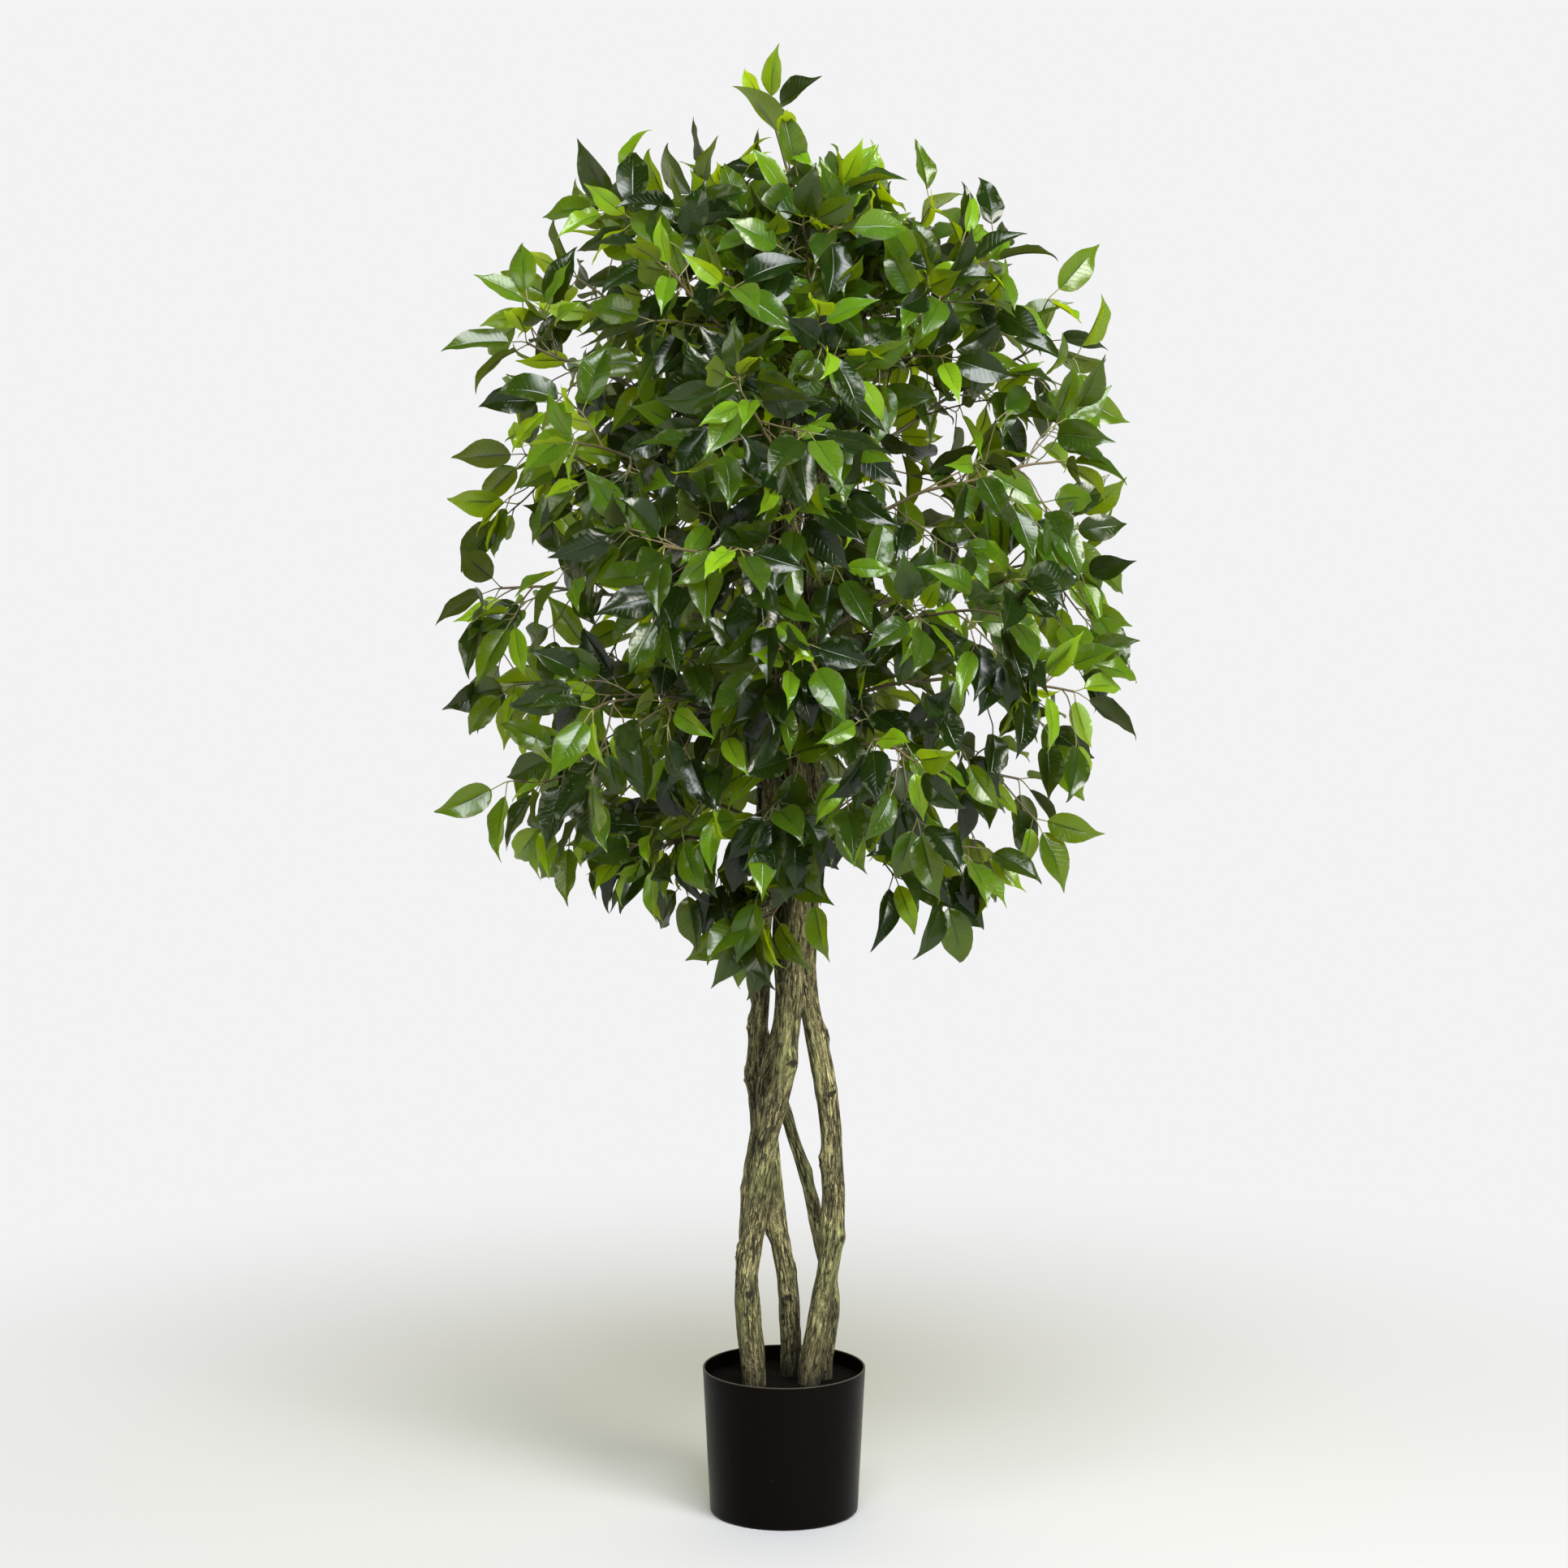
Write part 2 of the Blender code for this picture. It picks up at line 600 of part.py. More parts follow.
def loft_faces(sections):
    """Corners and triangles of the skin over three-cornered sections, which may end in a point.

    Each section's corners are matched to the last one's the way that twists least.
    """
    corners, rows = [], []
    for section in sections:
        if rows and len(section) == 3:
            before = [corners[i] for i in rows[-1]]
            shift = min(
                range(3),
                key=lambda s: sum((section[(i + s) % 3] - before[i]).length_squared for i in range(3)),
            )
            section = section[shift:] + section[:shift]
        rows.append(list(range(len(corners), len(corners) + len(section))))
        corners.extend(section)
    faces = [tuple(rows[0])]
    for a, b in zip(rows, rows[1:]):
        for i in range(3):
            j = (i + 1) % 3
            faces.append((a[j], a[i], b[i % len(b)]))
            if len(b) == 3:
                faces.append((a[j], b[i], b[j]))
    if len(rows[-1]) == 3:
        faces.append(tuple(reversed(rows[-1])))
    return corners, faces


def loft(shape, sections):
    corners, faces = loft_faces(sections)
    vertices = [shape.verts.new(corner) for corner in corners]
    for face in faces:
        shape.faces.new([vertices[i] for i in face])


def leaf_frame(leaf):
    aim = leaf["aim"]
    normal = leaf["facing"] - aim * leaf["facing"].dot(aim)
    return aim, normal.normalized()


def blade_sections(leaf):
    """The stalk's end and the blade, which arches down along its length to the tip."""
    aim, normal = leaf_frame(leaf)
    side = aim.cross(normal)
    base = leaf["start"] + aim * leaf["stalk"]
    bend, length = leaf["bend"], leaf["length"]
    sections = [ring(base, aim, normal, STALK_RADIUS)]
    wave = EDGE_WAVE
    outline = YOUNG_OUTLINE if leaf["young"] else MATURE_OUTLINE
    for place, share in outline + ((1, 0),):
        turned_by = bend * place
        middle = base + aim * (length * math.sin(turned_by) / bend)
        middle -= normal * (length * (1 - math.cos(turned_by)) / bend)
        up = normal * math.cos(turned_by) + aim * math.sin(turned_by)
        if share == 0:
            sections.append([middle])
            continue
        half = side * (0.5 * leaf["width"] * share)
        ridge = RIDGE * min(1, share + RIDGE_LEFT_AT_TIP)
        rise = up * (wave * share)
        sections.append([middle - half + rise, middle + half + rise, middle + up * ridge])
        wave = -wave
    return sections


def side_leaf_sections(leaf):
    aim, normal = leaf_frame(leaf)
    return [ring(leaf["start"], aim, normal, STALK_FOOT_SHARE * STALK_RADIUS)] + blade_sections(leaf)


def wire_sections(handles, places, radii, normal):
    """Sections along a wire, without twist."""
    sections = []
    for place, radius in zip(places, radii):
        along = bezier_slope(handles, place)
        normal = (normal - along * normal.dot(along)).normalized()
        sections.append(ring(bezier(handles, place), along, normal, radius))
    return sections


def start_normal(aim):
    return level_side(aim).cross(aim)


def stem_sections(spray):
    """The main wire from the bottom of its socket to its last leaf's tip."""
    normal = start_normal(spray["aim"])
    thick, thin = STEM_RADII
    places = [0, *(SHOOT_PLACES[i] for i in BUILT_SHOOTS), 1]
    radii = [thick + (thin - thick) * place for place in places]
    foot = ring(spray["foot"], spray["aim"], normal, thick)
    wire = wire_sections(spray["stem"]["handles"], places, radii, normal)
    return [foot] + wire + blade_sections(spray["stem"]["leaves"][0])


def shoot_sections(shoot):
    normal = start_normal(bezier_slope(shoot["handles"], 0))
    wire = wire_sections(shoot["handles"], (0, 0.5, 1), SHOOT_RADII, normal)
    return wire + blade_sections(shoot["leaves"][0])


class Shapes:
    """What stands already, so that a new wire or leaf can be tested against it."""

    def __init__(self):
        self.trees = []

    def add(self, owner, sections):
        self.add_faces(owner, *loft_faces(sections))

    def add_object(self, obj):
        corners = [obj.matrix_world @ vertex.co for vertex in obj.data.vertices]
        self.add_faces(obj.name, corners, [tuple(face.vertices) for face in obj.data.polygons])

    def add_faces(self, owner, corners, faces):
        low = [min(corner[i] for corner in corners) - CLEARANCE for i in range(3)]
        high = [max(corner[i] for corner in corners) + CLEARANCE for i in range(3)]
        self.trees.append((owner, BVHTree.FromPolygons(corners, faces), low, high))

    def meets(self, sections, owner, own=False):
        """True if the loft touches another owner's shapes, or with own its owner's."""
        corners, faces = loft_faces(sections)
        tree = BVHTree.FromPolygons(corners, faces)
        low = [min(corner[i] for corner in corners) for i in range(3)]
        high = [max(corner[i] for corner in corners) for i in range(3)]
        for name, other, other_low, other_high in self.trees:
            if (name == owner) != own:
                continue
            if any(high[i] < other_low[i] or low[i] > other_high[i] for i in range(3)):
                continue
            if tree.overlap(other):
                return True
            if any(other.find_nearest(corner, CLEARANCE)[0] is not None for corner in corners):
                return True
        return False


def choose_wires(spray, name, shapes):
    """The side twigs that the solid spray gets: the first of the wanted ones that stand clear."""
    spray["chosen"] = []
    for i in BUILT_SHOOTS:
        shoot = spray["shoots"][i]
        sections = shoot_sections(shoot)
        if shapes.meets(sections, name) or shapes.meets(sections[1:], name, own=True):
            continue
        shapes.add(name, sections)
        spray["chosen"].append(shoot)
    spray["wires"] = [spray["stem"]] + spray["chosen"]


def choose_leaves(spray, name, shapes):
    spray["side_leaves"] = []
    for wire in spray["wires"]:
        for leaf in wire["leaves"][1:]:
            sections = side_leaf_sections(leaf)
            if shapes.meets(sections, name) or shapes.meets(sections[1:], name, own=True):
                continue
            shapes.add(name, sections)
            spray["side_leaves"].append(leaf)


def build_spray(spray, name, collection, helpers, material):
    """One wire with its twigs and leaves, joined in one solid."""
    shape = bmesh.new()
    loft(shape, stem_sections(spray))
    obj = object_from_bmesh(name, shape, collection, material)
    lofts = [shoot_sections(shoot) for shoot in spray["chosen"]]
    lofts += [side_leaf_sections(leaf) for leaf in spray["side_leaves"]]
    for sections in lofts:
        shape = bmesh.new()
        loft(shape, sections)
        object_from_bmesh("leaf", shape, helpers)
    apply_boolean(obj, "UNION", helpers, "MANIFOLD")
    empty_collection(helpers)
    keep_main_body(obj)
    shade_round(obj)


def main():
    clear_scene()
    tree = make_collection("potted_ficus")
    helpers = make_collection("helpers")
    pot_plastic = make_material("pot_plastic", (0.012, 0.011, 0.010), 0.38)
    fill_dark = make_material("dark_fill", (0.018, 0.015, 0.012), 0.95)
    bark = make_material("bark", (0.16, 0.15, 0.09), 0.85)
    leaf_green = make_material("leaf_green", (0.045, 0.13, 0.02), 0.42)

    sprays = plan_tree()
    build_pot(tree, pot_plastic)
    build_fill(tree, helpers, fill_dark)
    shapes = Shapes()
    for name in TRUNKS:
        sockets = [
            (spray["foot"], spray["aim"], start_normal(spray["aim"]))
            for spray in sprays if spray["trunk"] == name
        ]
        trunk = build_trunk(name, sockets, tree, helpers, bark)
        shapes.add_object(trunk)
    names = [f"spray_{i + 1:02d}" for i in range(len(sprays))]
    for spray, name in zip(sprays, names):
        sections = stem_sections(spray)
        if shapes.meets(sections[1:], name):
            print("stem of", name, "crosses another piece")
        shapes.add(name, sections)
    for spray, name in zip(sprays, names):
        choose_wires(spray, name, shapes)
    for spray, name in zip(sprays, names):
        choose_leaves(spray, name, shapes)
    for spray, name in zip(sprays, names):
        build_spray(spray, name, tree, helpers, leaf_green)
    bpy.data.collections.remove(helpers)
    print("leaves", sum(len(spray["side_leaves"]) + len(spray["wires"]) for spray in sprays))


main()
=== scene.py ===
import json
import math
import random

import bmesh
import bpy
import numpy as np
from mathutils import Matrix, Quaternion, Vector, noise

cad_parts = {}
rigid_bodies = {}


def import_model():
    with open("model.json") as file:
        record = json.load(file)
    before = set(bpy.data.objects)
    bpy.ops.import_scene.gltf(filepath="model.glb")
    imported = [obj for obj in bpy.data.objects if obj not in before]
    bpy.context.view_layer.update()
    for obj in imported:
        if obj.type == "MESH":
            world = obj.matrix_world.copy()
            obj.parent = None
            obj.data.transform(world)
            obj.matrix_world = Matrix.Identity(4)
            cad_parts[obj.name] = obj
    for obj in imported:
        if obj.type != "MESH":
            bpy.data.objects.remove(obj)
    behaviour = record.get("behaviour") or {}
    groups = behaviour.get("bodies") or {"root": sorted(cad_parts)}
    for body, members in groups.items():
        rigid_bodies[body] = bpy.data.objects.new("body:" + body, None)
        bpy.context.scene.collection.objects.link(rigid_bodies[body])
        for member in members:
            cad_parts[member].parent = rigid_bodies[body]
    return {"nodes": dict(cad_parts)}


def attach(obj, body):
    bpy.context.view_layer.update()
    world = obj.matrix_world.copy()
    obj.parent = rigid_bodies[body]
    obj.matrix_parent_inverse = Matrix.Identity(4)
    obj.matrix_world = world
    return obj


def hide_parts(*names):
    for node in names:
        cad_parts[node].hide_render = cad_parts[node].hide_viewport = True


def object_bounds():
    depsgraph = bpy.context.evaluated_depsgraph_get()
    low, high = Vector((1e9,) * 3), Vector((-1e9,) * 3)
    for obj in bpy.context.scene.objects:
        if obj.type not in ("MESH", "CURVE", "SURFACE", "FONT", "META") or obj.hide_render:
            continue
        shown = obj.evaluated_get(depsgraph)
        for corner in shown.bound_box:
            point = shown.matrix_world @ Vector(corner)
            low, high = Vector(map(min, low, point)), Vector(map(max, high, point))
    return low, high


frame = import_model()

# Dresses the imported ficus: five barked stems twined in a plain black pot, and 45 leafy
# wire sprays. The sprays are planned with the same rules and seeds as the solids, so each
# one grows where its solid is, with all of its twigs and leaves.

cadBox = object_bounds()
boxLow, boxHigh = (np.array(corner, float) for corner in cadBox)
upward = Vector((0, 0, 1))
print("solids loaded:", len(frame["nodes"]))


# Small helpers for node trees and meshes

class ShaderTree:
    # the nodes of one material or of the world

    def __init__(self, owner):
        owner.use_nodes = True
        self.tree = owner.node_tree
        self.tree.nodes.clear()

    def add(self, kind, inputs=None, **settings):
        # inputs are sockets to join, or plain values; a colour is three numbers
        node = self.tree.nodes.new(kind)
        for key, value in settings.items():
            setattr(node, key, value)
        for key, value in (inputs or {}).items():
            socket = node.inputs[key]
            if isinstance(value, bpy.types.NodeSocket):
                self.tree.links.new(value, socket)
            else:
                socket.default_value = (*value, 1) if socket.type == "RGBA" else value
        return node.outputs

    def math(self, operation, a, b=0.0, c=0.0):
        return self.add("ShaderNodeMath", {0: a, 1: b, 2: c}, operation=operation)[0]

    def times(self, a, b):
        return self.math("MULTIPLY", a, b)

    def weighed(self, *parts):
        # the sum of values, each times its weight
        total, *rest = (self.times(value, weight) for value, weight in parts)
        for part in rest:
            total = self.math("ADD", total, part)
        return total

    def remap(self, value, fromLow, fromHigh, toLow=0.0, toHigh=1.0):
        inputs = {0: value, 1: fromLow, 2: fromHigh, 3: toLow, 4: toHigh}
        return self.add("ShaderNodeMapRange", inputs, interpolation_type="SMOOTHSTEP")[0]

    def mix(self, share, a, b, mode="MIX"):
        inputs = {0: share, 6: a, 7: b}
        return self.add("ShaderNodeMix", inputs, data_type="RGBA", blend_type=mode)[2]

    def ramp(self, share, places, colours):
        output = self.add("ShaderNodeValToRGB", {0: share})[0]
        elements = output.node.color_ramp.elements
        for place in places[1:-1]:
            elements.new(place)
        for element, place, colour in zip(elements, places, colours):
            element.position, element.color = place, (*colour, 1)
        return output

    def grain(self, place, scale, detail=3.0, roughness=0.55):
        inputs = {"Vector": place, "Scale": scale, "Detail": detail, "Roughness": roughness}
        return self.add("ShaderNodeTexNoise", inputs)[0]

    def place(self):
        return self.add("ShaderNodeTexCoord")["Object"]

    def mapped(self, name):
        # the two values of a UV map
        spot = self.add("ShaderNodeUVMap", uv_map=name)[0]
        return self.add("ShaderNodeSeparateXYZ", {0: spot})[:2]

    def bump(self, height, distance, strength=1.0):
        inputs = {"Height": height, "Distance": distance, "Strength": strength}
        return self.add("ShaderNodeBump", inputs)[0]

    def surface(self, colour, roughness, normal, shine=0.5):
        inputs = {"Base Color": colour, "Roughness": roughness, "Normal": normal}
        inputs["Specular IOR Level"] = shine
        return self.add("ShaderNodeBsdfPrincipled", inputs)[0]

    def finish(self, shader):
        self.add("ShaderNodeOutputMaterial", {"Surface": shader})


def newMaterial(name):
    material = bpy.data.materials.new(name)
    return material, ShaderTree(material)


def newObject(name, data):
    thing = bpy.data.objects.new(name, data)
    bpy.context.scene.collection.objects.link(thing)
    return thing


def linkPiece(name, mesh, materials, nodeName):
    piece = newObject(name, mesh)
    for material in materials:
        mesh.materials.append(material)
    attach(piece, "root")
    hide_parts(nodeName)
    return piece


def modifiedMesh(thing, sharpFrom):
    # the object's mesh with its modifiers applied, smooth but for its edges
    graph = bpy.context.evaluated_depsgraph_get()
    mesh = bpy.data.meshes.new_from_object(thing.evaluated_get(graph))
    mesh.shade_smooth()
    mesh.set_sharp_from_angle(angle=math.radians(sharpFrom))
    return mesh


def addMaps(mesh, maps):
    # UV maps from the values at the vertices
    corners = np.zeros(len(mesh.loops), int)
    mesh.loops.foreach_get("vertex_index", corners)
    for title, values in maps.items():
        layer = mesh.uv_layers.new(name=title)
        layer.data.foreach_set("uv", np.array(values, np.float32)[corners].ravel())


def clamped(value):
    return min(max(value, 0), 1)


def turnedMesh(name, profile, segments):
    # spins (radius, height) points round the Z axis; they run down the outer side
    mesh = bpy.data.meshes.new(name + "Profile")
    edges = [(i, i + 1) for i in range(len(profile) - 1)]
    mesh.from_pydata([(radius, 0, height) for radius, height in profile], edges, [])
    lathe = newObject(name + "Lathe", mesh)
    screw = lathe.modifiers.new("Turn", "SCREW")
    screw.axis = "Z"
    screw.steps = screw.render_steps = segments
    screw.use_merge_vertices = True
    screw.merge_threshold = 0.00001
    turned = modifiedMesh(lathe, 35)
    turned.name = name
    bpy.data.objects.remove(lathe, do_unlink=True)
    return turned


# The pot: thin moulded plastic, near black, satin, with a rounded rim and foot

pot = {
    "height": 0.164, "topRadius": 0.0905, "footRadius": 0.0825, "wall": 0.0022,
    "floor": 0.0035, "floorRounding": 0.003, "footRounding": 0.0035, "rimRounding": 0.0008,
    "rimBand": 0.02, "lowRing": 0.06, "segments": 144,
    "colour": (0.0016, 0.0009, 0.0005), "dust": (0.020, 0.018, 0.015), "dustScale": 420,
    "roughness": (0.26, 0.36), "cloudScale": 16, "grainScale": 900, "grainDepth": 0.00006,
    # the last two entries are the colour and depth of a painted highlight along the top of the rim
    "shine": 0.06, "rimHighlight": (0.040, 0.036, 0.031), "rimHighlightDepth": 0.0014,
}
potSlope = (pot["topRadius"] - pot["footRadius"]) / pot["height"]


def roundedCorner(centre, radius, start, end, steps):
    # points on an arc round centre, angles in degrees
    points = []
    for i in range(steps + 1):
        angle = math.radians(start + (end - start) * i / steps)
        points.append((centre[0] + radius * math.cos(angle), centre[1] + radius * math.sin(angle)))
    return points


def makePotMaterial():
    material, tree = newMaterial("satinPotPlastic")
    place = tree.place()
    specks = tree.remap(tree.grain(place, pot["dustScale"], 2.0), 0.70, 0.78, 0.0, 0.8)
    colour = tree.mix(specks, pot["colour"], pot["dust"])
    # painted highlight: the top of the rim is painted lighter, standing in for the light its
    # rounded edge catches
    rise = tree.add("ShaderNodeSeparateXYZ", {0: place})[2]
    rimHighlightShare = tree.remap(rise, pot["height"] - pot["rimHighlightDepth"], pot["height"])
    colour = tree.mix(rimHighlightShare, colour, pot["rimHighlight"])
    roughness = tree.remap(tree.grain(place, pot["cloudScale"]), 0.3, 0.7, *pot["roughness"])
    normal = tree.bump(tree.grain(place, pot["grainScale"], 1.0), pot["grainDepth"], 0.5)
    tree.finish(tree.surface(colour, roughness, normal, pot["shine"]))
    return material


def buildPot():
    innerTop = pot["topRadius"] - pot["wall"]
    innerFoot = pot["footRadius"] - pot["wall"]
    rim, foot, corner = pot["rimRounding"], pot["footRounding"], pot["floorRounding"]
    top, floor, band, low = pot["height"], pot["floor"], pot["rimBand"], pot["lowRing"]
    floorEdge = innerFoot + potSlope * floor - corner
    profile = [(0, floor), (floorEdge, floor)]
    profile += roundedCorner((floorEdge, floor + corner), corner, -90, 0, 5)[1:]
    profile += [(innerTop - potSlope * band, top - band)]
    profile += roundedCorner((innerTop + rim, top - rim), rim, 180, 90, 4)
    profile += roundedCorner((pot["topRadius"] - rim, top - rim), rim, 90, 0, 4)
    profile += [(pot["topRadius"] - potSlope * band, top - band)]
    profile += [(pot["footRadius"] + potSlope * low, low)]
    profile += roundedCorner((pot["footRadius"] - foot + potSlope * foot, foot), foot, 0, -90, 6)
    profile += [(0, 0)]
    mesh = turnedMesh("nurseryPot", profile, pot["segments"])
    linkPiece("nurseryPot", mesh, [makePotMaterial()], "pot")
    print("pot turned:", len(mesh.polygons), "faces")


# The stems: one dictionary of routes, with the centre line's points from the fill upward

stems = {
    "trunk_front_left": {
        "route": [
            (-0.033, -0.022, 0.156), (-0.038, -0.024, 0.198), (-0.0415, -0.026, 0.263),
            (-0.032, -0.028, 0.333), (-0.017, -0.029, 0.429), (-0.001, -0.028, 0.498),
            (0.010, -0.020, 0.600), (0.018, -0.017, 0.750), (0.012, -0.016, 0.900),
            (0.008, -0.012, 1.050), (0.006, -0.007, 1.230),
        ],
        "radii": (0.0132, 0.0098),
        "knobs": [(0.256, -80), (0.300, 185), (0.425, -120), (0.515, -60), (0.582, 20)],
    },
    "trunk_right": {
        "route": [
            (0.028, -0.014, 0.156), (0.038, -0.014, 0.216), (0.0495, -0.013, 0.286),
            (0.054, -0.011, 0.340), (0.052, -0.008, 0.429), (0.043, -0.004, 0.498),
            (0.031, 0.001, 0.557), (0.024, 0.008, 0.618), (0.028, 0.010, 0.720),
            (0.030, 0.005, 0.880), (0.031, 0.004, 1.050), (0.036, 0.004, 1.320),
        ],
        "radii": (0.0130, 0.0095),
        "knobs": [(0.315, -40), (0.400, 200), (0.475, -70), (0.538, -10)],
    },
    "trunk_middle": {
        "route": [
            (0.008, 0.022, 0.156), (0.004, 0.022, 0.251), (-0.009, 0.016, 0.333),
            (-0.017, 0.004, 0.420), (-0.019, 0.002, 0.480), (-0.001, 0.006, 0.5575),
            (-0.002, 0.012, 0.650), (0.002, 0.016, 0.750), (0.005, 0.018, 0.900),
            (0.009, 0.016, 1.100),
        ],
        "radii": (0.0120, 0.0090),
        "knobs": [(0.240, -90), (0.318, 180)],
    },
    "trunk_back_left": {
        "route": [
            (-0.033, 0.023, 0.156), (-0.040, 0.026, 0.263), (-0.035, 0.028, 0.370),
            (-0.028, 0.025, 0.430), (-0.030, 0.024, 0.500), (-0.026, 0.021, 0.575),
            (-0.025, 0.005, 0.650), (-0.016, -0.008, 0.730), (-0.014, -0.006, 0.900),
            (-0.013, -0.001, 1.050), (-0.013, 0.004, 1.170),
        ],
        "radii": (0.0118, 0.0085),
        "knobs": [(0.490, 180), (0.548, 175)],
    },
    "trunk_thin": {
        "route": [
            (0.045, 0.007, 0.156), (0.054, 0.014, 0.235), (0.042, 0.020, 0.292),
            (0.028, 0.024, 0.361), (0.0036, 0.035, 0.439), (-0.022, 0.045, 0.530),
            (-0.035, 0.038, 0.589), (-0.036, 0.025, 0.640), (-0.027, 0.015, 0.730),
            (-0.022, 0.019, 0.950),
        ],
        "radii": (0.0088, 0.0042),
        "knobs": [(0.272, 0)],
    },
}
drilledStems = ["trunk_front_left", "trunk_right", "trunk_middle", "trunk_back_left"]
fillTop = 0.150
stemFoot = 0.022
drillBelowTop = 0.015
stemSwell = {"share": 0.05, "perMetre": 41, "shift": 9, "start": 8}


def stemCentre(name, height):
    # a smooth curve through the route
    route = [Vector(point) for point in stems[name]["route"]]
    if height <= route[0].z:
        return Vector((route[0].x, route[0].y, height))
    last = len(route) - 2
    i = next((k for k in range(last) if height <= route[k + 1].z), last)
    a, b = route[i], route[i + 1]
    rise = b.z - a.z
    t = (height - a.z) / rise
    before, after = route[max(i - 1, 0)], route[min(i + 2, last + 1)]
    slopeA = (b - before) * (rise / (b.z - before.z)) if i else upward * rise
    slopeB = (after - a) * (rise / (after.z - a.z))
    return (
        a * (2 * t**3 - 3 * t**2 + 1)
        + slopeA * (t**3 - 2 * t**2 + t)
        + b * (3 * t**2 - 2 * t**3)
        + slopeB * (t**3 - t**2)
    )


def stemTop(name):
    return stems[name]["route"][-1][2]


def stemRadius(name, height):
    foot, top = stems[name]["radii"]
    share = clamped((height - fillTop) / (stemTop(name) - fillTop))
    phase = stemSwell["perMetre"] * height + stemSwell["shift"] * foot / top
    swell = 1 + stemSwell["share"] * math.sin(phase) * min(share * stemSwell["start"], 1)
    return (foot + (top - foot) * share) * swell


# Bark: long wandering cracks between flat ridges, rounded knots with dark scars

bark = {
    "sides": 60, "fineStep": 0.0034, "coarseStep": 0.010, "fineUpTo": 0.78, "shift": 7.3,
    # scales of the grain across and along the stem
    "crackGrain": (175, 30), "breakGrain": (90, 45), "lumpGrain": (55, 34),
    "bendGrain": (60, 28), "scarGrain": (300, 300),
    "wander": 0.0016, "crackDepth": 0.0009, "crackWidth": 0.20, "lumps": 0.0010,
    "hairScale": 300, "hairStretch": 0.16, "hairWidth": 0.085, "hairDepth": 0.0040,
    "fineScale": 520, "fineShare": 0.50, "fineShift": 3.7, "speckScale": 650,
    "cloudScale": 34, "mossScale": 9, "furrowShade": 0.50,
    "knotHeight": 0.0046, "knotSize": 0.0066, "scarSize": 0.0046, "scarDepth": 0.0018,
    "smallScars": 7, "scarsFrom": 0.17, "scarsTo": 0.85, "scarStand": (0.1, 0.42),
    "scarSizes": (0.35, 0.8), "edgeHeight": 0.0007, "reachUp": 0.03, "seed": 52,
    "belowFill": 0.004, "sunk": 0.0004, "topCone": 0.004, "shine": 0.25,
    "roughness": (0.90, 0.68),
    "toneWeights": (0.60, 0.20, 0.24), "toneStops": (0.42, 0.50, 0.60),
    "ridgeColours": [(0.050, 0.042, 0.019), (0.180, 0.158, 0.067), (0.480, 0.437, 0.215)],
    "moss": (0.215, 0.245, 0.085), "crack": (0.010, 0.007, 0.004), "scar": (0.006, 0.005, 0.003),
    # painted shade: how far and how dark the stems are darkened at their feet, next to close
    # stems, and on the stem behind the others
    "contactShadeReach": 0.0095, "contactShade": 0.85, "footReach": 0.12, "footShade": 0.88,
    "stemShade": {"trunk_back_left": 0.03},
}


def barkCracks(tree, run, scale, shift=0.0):
    # thin lines where the grain passes its middle value
    inputs = {"Vector": run, "Location": (shift, 0, shift)}
    moved = tree.add("ShaderNodeMapping", inputs)[0]
    off = tree.math("SUBTRACT", tree.grain(moved, scale, 2.0, 0.5), 0.5)
    width = bark["hairWidth"]
    lines = tree.remap(tree.math("ABSOLUTE", off), width * 0.25, width, 1.0, 0.0)
    return tree.times(lines, tree.remap(tree.grain(moved, scale * 0.45, 1.0), 0.36, 0.56, 0.15))


def makeBarkMaterial():
    material, tree = newMaterial("fissuredBark")
    place = tree.place()
    furrow, scar = tree.mapped("barkRelief")
    # the second value of this map is painted shade, worked out for each vertex
    length, paintedShade = tree.mapped("barkLengthAndShade")
    # grain that runs along the stem, whichever way the stem leans
    x, y = tree.mapped("barkRound")
    along = tree.times(length, bark["hairStretch"])
    run = tree.add("ShaderNodeCombineXYZ", {0: x, 1: y, 2: along})[0]
    streaks = tree.grain(run, bark["hairScale"] * 1.5, 4.0, 0.70)
    clouds = tree.grain(place, bark["cloudScale"], 2.0)
    specks = tree.grain(place, bark["speckScale"], 2.0)
    fine = barkCracks(tree, run, bark["fineScale"], bark["fineShift"])
    cracks = barkCracks(tree, run, bark["hairScale"])
    cracks = tree.math("MAXIMUM", cracks, tree.times(fine, bark["fineShare"]))
    tone = tree.weighed(*zip((streaks, clouds, specks), bark["toneWeights"]))
    colour = tree.ramp(tone, bark["toneStops"], bark["ridgeColours"])
    layers = [
        (tree.remap(tree.grain(place, bark["mossScale"]), 0.44, 0.66, 0.0, 0.60), "moss"),
        (tree.times(furrow, bark["furrowShade"]), "crack"),
        (tree.times(cracks, 0.92), "crack"),
        (tree.remap(scar, 0.2, 0.9, 0.0, 0.92), "scar"),
        # painted shade, in the crack colour
        (paintedShade, "crack"),
    ]
    for share, name in layers:
        colour = tree.mix(share, colour, bark[name])
    normal = tree.bump(tree.weighed((streaks, 0.6), (cracks, -0.8)), bark["hairDepth"])
    roughness = tree.remap(streaks, 0.3, 0.7, *bark["roughness"])
    tree.finish(tree.surface(colour, roughness, normal, bark["shine"]))
    return material


def stemMarks(name):
    # (height, angle, how far it stands out, scar size) of the knots and the small scars
    rng = random.Random(bark["seed"] + len(name))
    marks = [(height, math.radians(angle), 1.0, 1.0) for height, angle in stems[name]["knobs"]]
    low, high = bark["scarsFrom"], min(stemTop(name), bark["scarsTo"])
    for i in range(bark["smallScars"]):
        height = low + (high - low) * (i + rng.random()) / bark["smallScars"]
        draws = ((0, math.tau), bark["scarStand"], bark["scarSizes"])
        marks.append((height, *(rng.uniform(*draw) for draw in draws)))
    return marks


